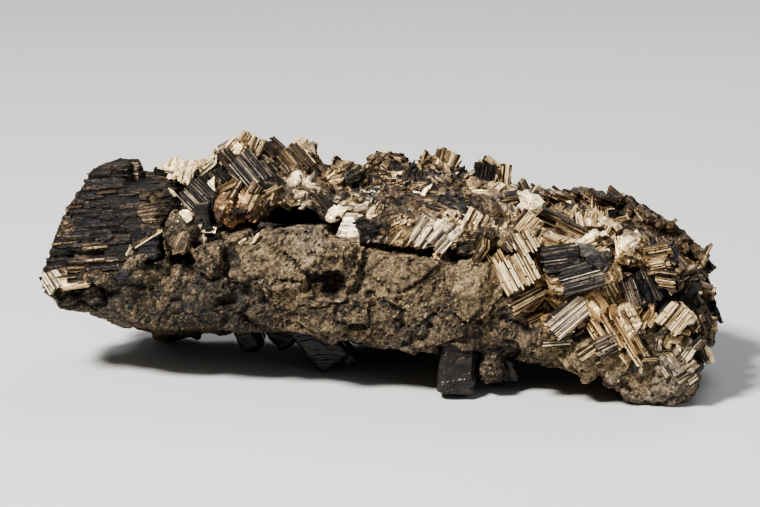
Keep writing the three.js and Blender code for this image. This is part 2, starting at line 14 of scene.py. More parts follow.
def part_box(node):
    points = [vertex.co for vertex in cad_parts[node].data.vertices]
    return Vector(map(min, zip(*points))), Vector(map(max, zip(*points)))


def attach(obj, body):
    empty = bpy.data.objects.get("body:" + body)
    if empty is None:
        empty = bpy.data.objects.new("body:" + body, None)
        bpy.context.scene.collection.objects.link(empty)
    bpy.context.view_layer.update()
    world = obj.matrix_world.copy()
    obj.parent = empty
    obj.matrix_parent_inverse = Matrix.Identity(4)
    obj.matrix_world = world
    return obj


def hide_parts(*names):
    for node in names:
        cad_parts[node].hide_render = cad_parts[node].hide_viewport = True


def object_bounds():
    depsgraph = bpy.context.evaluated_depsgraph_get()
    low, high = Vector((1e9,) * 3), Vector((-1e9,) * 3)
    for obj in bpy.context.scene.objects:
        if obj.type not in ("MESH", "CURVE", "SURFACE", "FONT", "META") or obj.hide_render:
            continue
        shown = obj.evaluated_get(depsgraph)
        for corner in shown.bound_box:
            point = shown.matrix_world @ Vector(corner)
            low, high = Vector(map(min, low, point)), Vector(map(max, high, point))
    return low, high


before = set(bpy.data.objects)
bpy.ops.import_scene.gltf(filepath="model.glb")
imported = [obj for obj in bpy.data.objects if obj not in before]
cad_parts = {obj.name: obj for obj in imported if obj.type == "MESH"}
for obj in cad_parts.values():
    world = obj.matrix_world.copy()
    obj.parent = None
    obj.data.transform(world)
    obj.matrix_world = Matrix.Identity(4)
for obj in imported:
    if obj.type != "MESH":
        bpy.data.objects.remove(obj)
cad_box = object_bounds()

MM = 0.001
BODY = "root"

# ---------------------------------------------------------------- camera
VIEW_WIDTH, VIEW_HEIGHT = 760, 507
SENSOR = 36.0
LENS = 146.5
NEAREST = 0.01
DISTANCE = 0.7
LOOK_AT = Vector((-1.3, -1.4, 27.2)) * MM
AZIMUTH = math.radians(9)
ELEVATION = math.radians(14)


def direction(azimuth, elevation):
    """The way from the specimen to what stands at an azimuth and an elevation; azimuth 0 is its front."""
    return Vector((
        math.sin(azimuth) * math.cos(elevation),
        -math.cos(azimuth) * math.cos(elevation),
        math.sin(elevation),
    ))


BACK = direction(AZIMUTH, ELEVATION)
RIGHT = Vector((math.cos(AZIMUTH), math.sin(AZIMUTH), 0.0))
UP = BACK.cross(RIGHT)
EYE = LOOK_AT + BACK * DISTANCE

# ---------------------------------------------------------------- sizes
# How fine the mesh of each piece is.
ROCK_VOXEL = 0.585 * MM
CRUST_VOXEL = 0.47 * MM
RIDGE_VOXEL = 0.6 * MM
BLOCK_VOXEL = 0.36 * MM
FAN_VOXEL = 0.3 * MM
BUFF_VOXEL = 0.4 * MM
PYRAMID_VOXEL = 0.18 * MM
CASSITERITE_VOXEL = 0.3 * MM
# How far past the solids' box the pieces may reach, as a share of its size.
PROUD_SHARE = 0.025
SAME_PLACE = 1e-6


def make_camera():
    """The camera, at the height and the angle that the specimen is seen from."""
    data = bpy.data.cameras.new("camera")
    data.lens = LENS
    data.sensor_width = SENSOR
    data.clip_start = NEAREST
    camera = bpy.data.objects.new("camera", data)
    camera.location = EYE
    camera.rotation_mode = "QUATERNION"
    camera.rotation_quaternion = (-BACK).to_track_quat("-Z", "Y")
    bpy.context.scene.collection.objects.link(camera)
    bpy.context.scene.camera = camera


def sight(px, py):
    """The direction in which the camera sees a point of its view."""
    across = float(px - VIEW_WIDTH / 2) / VIEW_WIDTH * SENSOR / LENS
    up = float(VIEW_HEIGHT / 2 - py) / VIEW_WIDTH * SENSOR / LENS
    return (across * RIGHT + up * UP - BACK).normalized()


# ---------------------------------------------------------------- fixed random numbers
# Large odd numbers that spread whole numbers evenly.
CELL_FACTORS = (73856093, 19349663, 83492791)
SALT_FACTOR = 2654435761
MIX_FACTOR = 0x45D9F3B
BITS_24, BITS_31, BITS_32 = 0xFFFFFF, 0x7FFFFFFF, 0xFFFFFFFF
FAR_AWAY = 9.0


def hash01(cell, salt):
    """A fixed random number from 0 to 1 for each row of three whole numbers."""
    mixed = np.int64(salt * SALT_FACTOR & BITS_31)
    for axis, factor in enumerate(CELL_FACTORS):
        mixed = mixed ^ (cell[..., axis].astype(np.int64) * factor)
    mixed = mixed & BITS_32
    for shift in (16, 13):
        mixed = ((mixed ^ (mixed >> shift)) * MIX_FACTOR) & BITS_32
    return ((mixed ^ (mixed >> 16)) & BITS_24) / float(BITS_24 + 1)


def number01(numbers, salt):
    """A fixed random number from 0 to 1 for each whole number."""
    return hash01(np.stack([numbers] * 3, 1), salt)


def smooth_noise(points, size, seed):
    """Soft noise from -0.5 to 0.5, with bumps of about the given size."""
    place = points / size
    low = np.floor(place).astype(np.int64)
    part = place - low
    part = part * part * (3 - 2 * part)
    total = np.zeros(len(points))
    for corner in product((0, 1), repeat=3):
        weight = np.prod(np.where(corner, part, 1 - part), axis=1)
        total += weight * hash01(low + corner, seed)
    return total - 0.5


def cells(points, size, seed):
    """The cell of a broken pattern that each point is in, that cell's centre, and the way to its border."""
    place = points / size
    low = np.floor(place).astype(np.int64)
    nearest = np.full(len(points), FAR_AWAY)
    second = nearest.copy()
    owner = low.copy()
    centre = place.copy()
    for step in product((-1, 0, 1), repeat=3):
        cell = low + step
        seat = cell + np.stack([hash01(cell, seed + k) for k in range(3)], axis=1)
        far = np.linalg.norm(seat - place, axis=1)
        closer = far < nearest
        second = np.where(closer, nearest, np.minimum(second, far))
        nearest = np.where(closer, far, nearest)
        owner[closer] = cell[closer]
        centre[closer] = seat[closer]
    return owner, centre * size, (second - nearest) * size


def edge(border, width):
    """1 on the border between two cells, falling to 0 at a width from it."""
    return np.clip(1 - border / width, 0, 1)


# ---------------------------------------------------------------- meshes
def vectors_of(rows, key):
    """One vector from each of Blender's rows, such as each vertex's place."""
    flat = np.empty(len(rows) * 3, np.float32)
    rows.foreach_get(key, flat)
    return flat.reshape(-1, 3).astype(float)


def points_of(mesh):
    """Where a mesh's vertices are."""
    return vectors_of(mesh.vertices, "co")


def normals_of(mesh):
    """Which way a mesh's surface faces at its vertices."""
    return vectors_of(mesh.vertex_normals, "vector")


def put_points(mesh, points):
    """Moves a mesh's vertices, no further than the specimen may reach."""
    mesh.vertices.foreach_set("co", kept_inside(points).astype(np.float32).ravel())
    mesh.update()


def kept_inside(points):
    """The points, held inside the space that the specimen may fill and above the floor."""
    low, high = (np.array(corner) for corner in cad_box)
    spare = (high - low) * PROUD_SHARE
    bottom = low - spare
    bottom[2] = max(low[2], 0.0)
    return np.clip(points, bottom, high + spare)


def paint(mesh, **named):
    """Keeps one value, or one vector, for each vertex under names that materials and trees can read."""
    for name, values in named.items():
        values = np.asarray(values, dtype=np.float32)
        if values.ndim == 0:
            values = np.full(len(mesh.vertices), values)
        kind, key = ("FLOAT", "value") if values.ndim == 1 else ("FLOAT_VECTOR", "vector")
        layer = mesh.attributes.get(name) or mesh.attributes.new(name, kind, "POINT")
        layer.data.foreach_set(key, values.ravel())


def new_object(name, mesh):
    """A mesh's object, in the scene."""
    made = bpy.data.objects.new(name, mesh)
    bpy.context.scene.collection.objects.link(made)
    return made


def merged_copy(node):
    """A copy of a CAD node's mesh with its loose triangles joined."""
    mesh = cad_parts[node].data.copy()
    shape = bmesh.new()
    shape.from_mesh(mesh)
    bmesh.ops.remove_doubles(shape, verts=shape.verts, dist=SAME_PLACE)
    shape.to_mesh(mesh)
    shape.free()
    mesh.materials.clear()
    return mesh


def baked(thing, name):
    """The mesh that an object's modifiers give, as a plain object of its own."""
    view = bpy.context.evaluated_depsgraph_get()
    mesh = bpy.data.meshes.new_from_object(thing.evaluated_get(view))
    mesh.name = name
    bpy.data.objects.remove(thing)
    return new_object(name, mesh)


def remeshed(node, name, voxel):
    """A CAD node's form as an even, fine mesh."""
    thing = new_object(name + "_form", merged_copy(node))
    change = thing.modifiers.new("even", "REMESH")
    change.mode = "VOXEL"
    change.voxel_size = voxel
    return baked(thing, name)


def finished(piece, slot, material, *nodes):
    """Puts the last touches to a piece: it stays inside the specimen, gets its finish and rides along."""
    put_points(piece.data, points_of(piece.data))
    if material:
        piece.data.materials.clear()
        piece.data.materials.append(material)
    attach(piece, BODY)
    if nodes:
        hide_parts(*nodes)
    return piece


# ---------------------------------------------------------------- node trees
class Wire:
    """A node's output. Sums and products of wires and numbers add Math nodes."""

    def __init__(self, graph, socket):
        self.graph = graph
        self.socket = socket

    def out(self, name):
        """Another output of the same node."""
        return Wire(self.graph, self.socket.node.outputs[name])

    def maths(self, operation, first, second):
        return self.graph.node("ShaderNodeMath", {"operation": operation}, {0: first, 1: second})

    def __add__(self, other):
        return self.maths("ADD", self, other)

    def __sub__(self, other):
        return self.maths("SUBTRACT", self, other)

    def __mul__(self, other):
        return self.maths("MULTIPLY", self, other)

    def __rsub__(self, other):
        return self.maths("SUBTRACT", other, self)

    def at_most(self, level):
        return self.maths("MINIMUM", self, level)

    def at_least(self, level):
        return self.maths("MAXIMUM", self, level)

    def over(self, level):
        """1 where the value is over a level, and 0 elsewhere."""
        return self.maths("GREATER_THAN", self, level)

    __radd__ = __add__
    __rmul__ = __mul__


class Graph:
    """A node tree, built one call at a time."""

    def __init__(self, tree):
        self.tree = tree
        tree.nodes.clear()

    def node(self, kind, settings=None, inputs=None, output=0):
        """Adds a node: its settings first, then the value or the wire of each socket named."""
        made = self.tree.nodes.new(kind)
        for name, value in (settings or {}).items():
            if name == "stops":
                fill_ramp(made.color_ramp, value)
            else:
                setattr(made, name, value)
        for key, value in (inputs or {}).items():
            if isinstance(value, Wire):
                self.tree.links.new(value.socket, made.inputs[key])
            else:
                made.inputs[key].default_value = value
        return Wire(self, made.outputs[output]) if len(made.outputs) else made


def fill_ramp(ramp, stops):
    """Sets a colour ramp's stops from (place, colour) pairs."""
    while len(ramp.elements) < len(stops):
        ramp.elements.new(1.0)
    for element, (place, colour) in zip(ramp.elements, stops):
        element.position = place
        element.color = (*colour, 1.0)


class Finish(Graph):
    """A material: a Principled surface whose sockets take wires or plain values."""

    def __init__(self, name):
        self.material = bpy.data.materials.new(name)
        self.material.use_nodes = True
        super().__init__(self.material.node_tree)

    def named(self, name, output="Fac"):
        """What was painted on the vertices under a name."""
        return self.node("ShaderNodeAttribute", {"attribute_name": name}).out(output)

    def place(self, scale=(1.0, 1.0, 1.0), source=None):
        """Object coordinates, or another vector, stretched by a scale for each axis."""
        vector = source or self.node("ShaderNodeTexCoord").out("Object")
        return self.node("ShaderNodeMapping", None, {"Vector": vector, "Scale": scale})

    def noise(self, vector, scale, detail, roughness):
        values = {"Vector": vector, "Scale": scale, "Detail": detail, "Roughness": roughness}
        return self.node("ShaderNodeTexNoise", None, values)

    def grain_tint(self, vector, scale):
        """A random value from 0 to 1 for each grain."""
        grains = self.node("ShaderNodeTexVoronoi", None, {"Vector": vector, "Scale": scale})
        return self.node("ShaderNodeSeparateColor", None, {"Color": grains.out("Color")})

    def ramp(self, factor, stops):
        return self.node("ShaderNodeValToRGB", {"stops": stops}, {"Fac": factor})

    def mix(self, factor, first, second):
        return self.node("ShaderNodeMix", {"data_type": "RGBA"}, {0: factor, 6: first, 7: second}, 2)

    def bump(self, height, strength, distance):
        values = {"Height": height, "Strength": strength, "Distance": distance}
        return self.node("ShaderNodeBump", None, values)

    def surface(self, **inputs):
        """Ends the material; an underscore in a name stands for the space in its socket's."""
        values = {name.replace("_", " "): value for name, value in inputs.items()}
        shader = self.node("ShaderNodeBsdfPrincipled", None, values)
        self.node("ShaderNodeOutputMaterial", None, {"Surface": shader})
        return self.material


# ---------------------------------------------------------------- finishes
# Each ramp's colours, from the darkest to the lightest.
WARM_STOPS = (
    (0.0, (0.006, 0.005, 0.004)),
    (0.2, (0.030, 0.019, 0.011)),
    (0.4, (0.095, 0.061, 0.031)),
    (0.6, (0.260, 0.175, 0.086)),
    (0.8, (0.590, 0.430, 0.225)),
    (1.0, (1.000, 0.830, 0.520)),
)
COOL_STOPS = (
    (0.0, (0.005, 0.005, 0.007)),
    (0.2, (0.023, 0.021, 0.021)),
    (0.4, (0.078, 0.067, 0.055)),
    (0.6, (0.215, 0.180, 0.140)),
    (0.8, (0.560, 0.470, 0.335)),
    (1.0, (1.000, 0.890, 0.680)),
)
RUST_STOPS = (
    (0.0, (0.012, 0.006, 0.003)),
    (0.3, (0.080, 0.040, 0.018)),
    (0.6, (0.330, 0.195, 0.090)),
    (0.8, (0.600, 0.400, 0.180)),
    (1.0, (0.850, 0.650, 0.360)),
)
KHAKI_STOPS = (
    (0.0, (0.010, 0.008, 0.006)),
    (0.28, (0.055, 0.038, 0.022)),
    (0.5, (0.165, 0.118, 0.062)),
    (0.7, (0.285, 0.210, 0.118)),
    (1.0, (0.500, 0.400, 0.260)),
)
GREY_STOPS = (
    (0.0, (0.010, 0.010, 0.010)),
    (0.5, (0.140, 0.125, 0.105)),
    (1.0, (0.620, 0.580, 0.520)),
)
BLACK_STOPS = (
    (0.0, (0.004, 0.003, 0.003)),
    (0.5, (0.008, 0.007, 0.006)),
    (0.68, (0.040, 0.026, 0.015)),
    (1.0, (0.120, 0.080, 0.045)),
)
FLOOR_STOPS = ((0.0, (0.48, 0.48, 0.48)), (1.0, (0.51, 0.51, 0.51)))
# How dark the khaki of the rock is beside its ramp, and the rock's warmth, under which it turns grey.
KHAKI_SHARE = 0.66
ROCK_WARMTH = 0.42
# How often growth layers, fine hairs and a crystal's growth lines come for each millimetre: along the
# stripes, outwards and across the plates.
LAYER_SCALE = (0.11, 0.2, 2.1)
HAIR_SCALE = (0.4, 0.5, 5.5)
LINE_SCALE = (0.1, 0.1, 2.0)
CRYSTAL_IOR = 1.45


def plate_finish(name, metallic=0.4, roughness=0.34, streak=1.8):
    """Pearly, striated plates: the vertex values say how light, how warm and how layered each one is."""
    finish = Finish(name)
    tone = finish.named("tone")
    warmth = finish.named("warmth")
    sheet = finish.named("sheet", "Vector")
    layers = finish.noise(finish.place(LAYER_SCALE, sheet), 1.0, 3.0, 0.65)
    hairs = finish.noise(finish.place(HAIR_SCALE, sheet), 1.0, 2.0, 0.6)
    stains = finish.noise(finish.place(), 300.0, 4.0, 0.65)
    crumbs = finish.noise(finish.place(), 1500.0, 3.0, 0.7)
    lines = (layers - 0.5) * streak + (hairs - 0.5) * 0.6
    level = tone + lines * (0.6 + 0.6 * tone) + (stains - 0.5) * 0.5 + (crumbs - 0.5) * 0.35
    warm = finish.ramp(level, WARM_STOPS)
    cool = finish.ramp(level, COOL_STOPS)
    rust = finish.ramp(level, RUST_STOPS)
    colour = finish.mix((warmth * 2).at_most(1.0), cool, warm)
    colour = finish.mix(((warmth - 0.5) * 2).at_least(0.0), colour, rust)
    height = layers * 0.7 + hairs * 0.35 + crumbs * 0.5
    return finish.surface(
        Base_Color=colour,
        Metallic=metallic,
        Roughness=roughness + 0.14 - 0.26 * tone + 0.25 * stains,
        IOR=CRYSTAL_IOR,
        Normal=finish.bump(height, 0.7, 0.4 * MM),
    )


def rock_finish(name):
    """Matte granular rock: khaki and olive grains with dark ones, warmer and cooler stains, and painted shade
    along its cracks, grooves and pits.
    """
    finish = Finish(name)
    place = finish.place()
    patches = finish.noise(place, 70.0, 4.0, 0.6)
    grains = finish.grain_tint(place, 1500.0)
    specks = finish.grain_tint(place, 2600.0)
    fine = finish.noise(place, 1300.0, 4.0, 0.8)
    shade = finish.named("shade")
    warmth = finish.named("warmth")
    level = patches * 0.4 + grains * 0.32 + specks * 0.3 + fine * 0.7 + (shade - 0.5) * 0.8 - 0.39
    khaki = [(stop, [part * KHAKI_SHARE for part in colour]) for stop, colour in KHAKI_STOPS]
    greyness = ((ROCK_WARMTH - warmth) * 1.6).at_least(0.0)
    return finish.surface(
        Base_Color=finish.mix(greyness, finish.ramp(level, khaki), finish.ramp(level, GREY_STOPS)),
        Roughness=0.92 - 0.45 * specks.over(0.9),
        Normal=finish.bump(grains * 0.5 + specks * 0.25 + fine * 0.8, 0.7, 0.35 * MM),
    )


def cassiterite_finish(name):
    """Black, glassy crystal with fine growth lines."""
    finish = Finish(name)
    sheet = finish.named("sheet", "Vector")
    lines = finish.noise(finish.place(LINE_SCALE, sheet), 1.0, 3.0, 0.6)
    dust = finish.noise(finish.place(), 600.0, 5.0, 0.7)
    return finish.surface(
        Base_Color=finish.ramp(dust * 0.7 + lines * 0.3, BLACK_STOPS),
        Roughness=0.2 + 0.35 * dust,
        IOR=CRYSTAL_IOR,
        Normal=finish.bump(lines * 0.7 + dust * 0.3, 0.35, 0.3 * MM),
    )


def floor_finish():
    """A plain, pale, matte floor."""
    finish = Finish("floor_pale")
    cloud = finish.noise(finish.place(), 3.0, 2.0, 0.5)
    return finish.surface(Base_Color=finish.ramp(cloud, FLOOR_STOPS), Roughness=0.8)


# ---------------------------------------------------------------- what carries a plate
class Ground:
    """The CAD solids as one surface that plates are set on."""

    def __init__(self, names):
        corners, faces, self.names = [], [], []
        for name in names:
            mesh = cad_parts[name].data
            first = len(corners)
            corners.extend(vertex.co.copy() for vertex in mesh.vertices)
            for face in mesh.polygons:
                faces.append([first + index for index in face.vertices])
                self.names.append(name)
        self.tree = BVHTree.FromPolygons(corners, faces)

    def seen(self, px, py):
        """The place, the facing and the node that the camera sees at a point of its view, or None."""
        spot, facing, face, _ = self.tree.ray_cast(EYE, sight(px, py))
        if spot is None:
            return None
        return spot, facing, self.names[face]


ground = Ground(sorted(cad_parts))


# ---------------------------------------------------------------- plates
# How light and how warm the plates of each kind are, from 0 to 1, and how much they differ.
KINDS = {
    "white": (0.95, 0.32, 0.2),
    "shell": (0.94, 0.38, 0.3),
    "silver": (0.72, 0.2, 0.7),
    "cream": (0.75, 0.46, 0.6),
    "tan": (0.60, 0.5, 0.4),
    "bronze": (0.46, 0.46, 0.5),
    "brown": (0.31, 0.42, 0.45),
    "grey": (0.46, 0.2, 0.5),
    "dark": (0.17, 0.34, 0.36),
    "blue": (0.22, 0.08, 0.45),
    "umber": (0.22, 0.42, 0.16),
    "earth": (0.33, 0.45, 0.2),
    "soot": (0.03, 0.36, 0.3),
    "black": (0.0, 0.2, 0.1),
    "orange": (0.62, 0.88, 0.4),
    "yellow": (0.72, 0.92, 0.25),
    "pink": (0.55, 0.62, 0.35),
}
PLAIN_KIND = (0.5, 0.5, 1.0)
# Where a stack lies, and its axes: along the stripes, outwards and across the plates.
AT_ORIGIN = (np.zeros(3), np.eye(3))

# Of a plate's outline: how often its front is set back, and how deep that and its notches are, as
# shares of how ragged the plate is and of its depth.
SET_BACK_OFTEN, SET_BACK = 0.16, 0.8
NOTCH, DEEPEST_NOTCH = 0.6, 0.3

# Of a book: the share of odd plates, which are thin and lighter or darker than the rest, how thick the
# plates are beside one another, and how much their tones differ at random and from one to the next.
ODD_SHARE, ODD_THICKNESS = 0.2, 0.35
ODD_LIGHTER, ODD_DARKER = 0.42, -0.5
DARK_TONE = 0.4
THICKNESSES = (0.7, 1.4)
TONE_SPREAD, TONE_SWING = 0.8, 0.45
# The gap between two plates in millimetres, its share of a plate, and how much a plate turns.
WIDEST_GAP, GAP_SHARE = 0.12, 0.3
PLATE_TURN = 0.05
# Of a plate's broken pieces: where the breaks are, how far they shift outwards, and how they differ.
BREAK_REACH, PIECE_LIFT, PIECE_SPREAD = 0.3, 0.25, 0.3
PIECE_RAGGED = 0.3

# Of crumpled plates: their corners, how far the corners reach, how much the plates overlap, slide and
# slope, and where the top's inner corners lie between the middle and the rim.
RIM_CORNERS = 7
RIM_REACH = (0.55, 1.15)
OVERLAP, SLIDE, SLOPE = 1.4, 0.3, 0.5
INNER_REACH = (0.35, 0.6)
UNEVEN = (0.7, 1.2)
RIM_RISE, MIDDLE_RISE = 0.75, 1.05


class Heap:
    """Plates gathered into one mesh, with the values that their finish reads."""

    def __init__(self):
        self.corners, self.faces = [], []
        self.tone, self.warmth, self.sheet = [], [], []

    def corner(self, local, sheet, seat, look):
        """Adds a corner: where it lies in its stack and in its stripes, in millimetres, and its look."""
        place, axes = seat
        self.corners.append(place + axes.T @ np.array(local) * MM)
        self.sheet.append(sheet)
        self.tone.append(look[0])
        self.warmth.append(look[1])

    def prism(self, outline, low, high, seat, look):
        """A flat plate: its outline in millimetres, and how high its two faces lie in the stack."""
        first = len(self.corners)
        count = len(outline)
        for level in (low, high):
            for across, out in outline:
                self.corner((across, out, level), (across, out, level), seat, look)
        self.faces.append([first + k for k in reversed(range(count))])
        self.faces.append([first + count + k for k in range(count)])
        for k in range(count):
            after = (k + 1) % count
            self.faces.append([first + k, first + after, first + count + after, first + count + k])

    def shard(self, rim, middle, low, thick, lean, seat, look, draw):
        """A flat, crumpled piece: its rim, with an uneven top that rises towards its middle."""
        first = len(self.corners)
        count = len(rim)
        inner = [middle + (point - middle) * draw.uniform(*INNER_REACH) for point in rim]
        for row, rise in ((rim, 0.0), (rim, RIM_RISE), (inner, 1.0), ([middle], MIDDLE_RISE)):
            for across, out in row:
                tilted = low + lean @ (across, out) + thick * rise * draw.uniform(*UNEVEN)
                self.corner((across, out, tilted), (across, tilted, out), seat, look)
        self.faces.append([first + k for k in reversed(range(count))])
        for k in range(count):
            after = (k + 1) % count
            for start in (first, first + count):
                self.faces.append([start + k, start + after, start + count + after, start + count + k])
            self.faces.append([first + 2 * count + k, first + 2 * count + after, first + 3 * count])

    def mesh(self, name):
        """The plates as one mesh."""
        made = bpy.data.meshes.new(name)
        made.from_pydata([tuple(corner) for corner in self.corners], [], self.faces)
        paint(made, tone=self.tone, warmth=self.warmth, sheet=self.sheet)
        return made


def ragged_outline(length, depth, ragged, draw):
    """A plate's outline: an oblong with broken, slanting ends and a chipped front edge."""
    back, front = -depth / 2, depth / 2
    half = length / 2
    if draw.random() < SET_BACK_OFTEN:
        front -= ragged * SET_BACK
    starts, slants = draw.random((2, 2)) * ragged
    notches = draw.random(5) ** 2 * min(ragged * NOTCH, depth * DEEPEST_NOTCH)
    left, right = -half + starts[0], half - starts[1]
    return (
        (left, back),
        (right, back),
        (right - slants[1] * 0.3, front * 0.3),
        (right - slants[1], front - notches[0]),
        (right * draw.uniform(0.3, 0.7), front - notches[1]),
        (half * draw.uniform(-0.2, 0.2), front - notches[2]),
        (left * draw.uniform(0.3, 0.7), front - notches[3]),
        (left + slants[0], front - notches[4]),
    )


def stack_plates(heap, size, plates, kind, draw, ragged, breaks=0, seat=AT_ORIGIN):
    """A book of cleavage plates, each broken along its length. Its size in millimetres is along the
    stripes, outwards and across them."""
    length, depth, thick = size
    tone, warmth, contrast = kind
    odd = draw.random(plates) < ODD_SHARE
    shares = np.where(odd, ODD_THICKNESS, draw.uniform(*THICKNESSES, plates))
    level = -thick / 2
    for number, (strange, pitch) in enumerate(zip(odd, shares / shares.sum() * thick)):
        gap = min(GAP_SHARE * pitch, WIDEST_GAP) * draw.random()
        shift = (draw.random() - 0.5) * ragged
        turn = (draw.random() - 0.5) * PLATE_TURN
        whole = tone + ((draw.random() - 0.5) * TONE_SPREAD + (number % 2 - 0.5) * TONE_SWING) * contrast
        if strange:
            whole += ODD_LIGHTER if tone < DARK_TONE else ODD_DARKER
        inner_ends = draw.uniform(-BREAK_REACH, BREAK_REACH, draw.integers(0, breaks + 1))
        ends = [-0.5, *sorted(inner_ends), 0.5]
        for start, end in zip(ends, ends[1:]):
            middle = shift + (start + end) / 2 * length
            lift = (draw.random() - 0.5) * PIECE_LIFT if breaks else 0.0
            plain = ragged_outline((end - start) * length, depth, ragged * PIECE_RAGGED * (end - start), draw)
            outline = [
                (across + middle - out * turn, out + lift + (across + middle) * turn)
                for across, out in plain
            ]
            own = whole + (draw.random() - 0.5) * contrast * (PIECE_SPREAD if breaks else 0.0)
            heap.prism(outline, level, level + pitch - gap, seat, (own, warmth))
        level += pitch


def crumple(heap, size, layers, kind, draw, seat):
    """Broken, crumpled plates that lie flat, one on another."""
    length, width, thick = size
    tone, warmth, contrast = kind
    for number in range(layers):
        middle = (draw.random(2) - 0.5) * (length, width) * SLIDE
        lean = (draw.random(2) - 0.5) * SLOPE
        low = -thick / 2 + number * thick / layers
        own = tone + (draw.random() - 0.5) * contrast * 0.6
        rim = []
        for k in range(RIM_CORNERS):
            angle = (k + draw.uniform(-0.3, 0.3)) / RIM_CORNERS * math.tau
            reach = draw.uniform(*RIM_REACH)
            rim.append(middle + (length / 2 * math.cos(angle) * reach, width / 2 * math.sin(angle) * reach))
        heap.shard(rim, middle, low, thick / layers * OVERLAP, lean, seat, (own, warmth), draw)


def lie(stripes, tilt):
    """The axes of plates whose stripes run at an angle in the view: along, outwards and across the plates.
    A tilt of 0 shows their edges to the camera and one of 90 degrees their flat faces."""
    turn, lean = math.radians(stripes), math.radians(tilt)
    along = -(math.cos(turn) * RIGHT + math.sin(turn) * UP)
    across = -math.sin(turn) * RIGHT + math.cos(turn) * UP
    layer = math.cos(lean) * across + math.sin(lean) * BACK
    return np.array((along, layer.cross(along), layer))


def laid_on(facing, axes):
    """The same axes, turned so that the stripes run along a surface."""
    along, _, layer = axes
    along = along - facing * (along @ facing)
    along /= np.linalg.norm(along)
    layer = layer - along * (layer @ along)
    layer /= np.linalg.norm(layer)
    return np.array((along, np.cross(layer, along), layer))


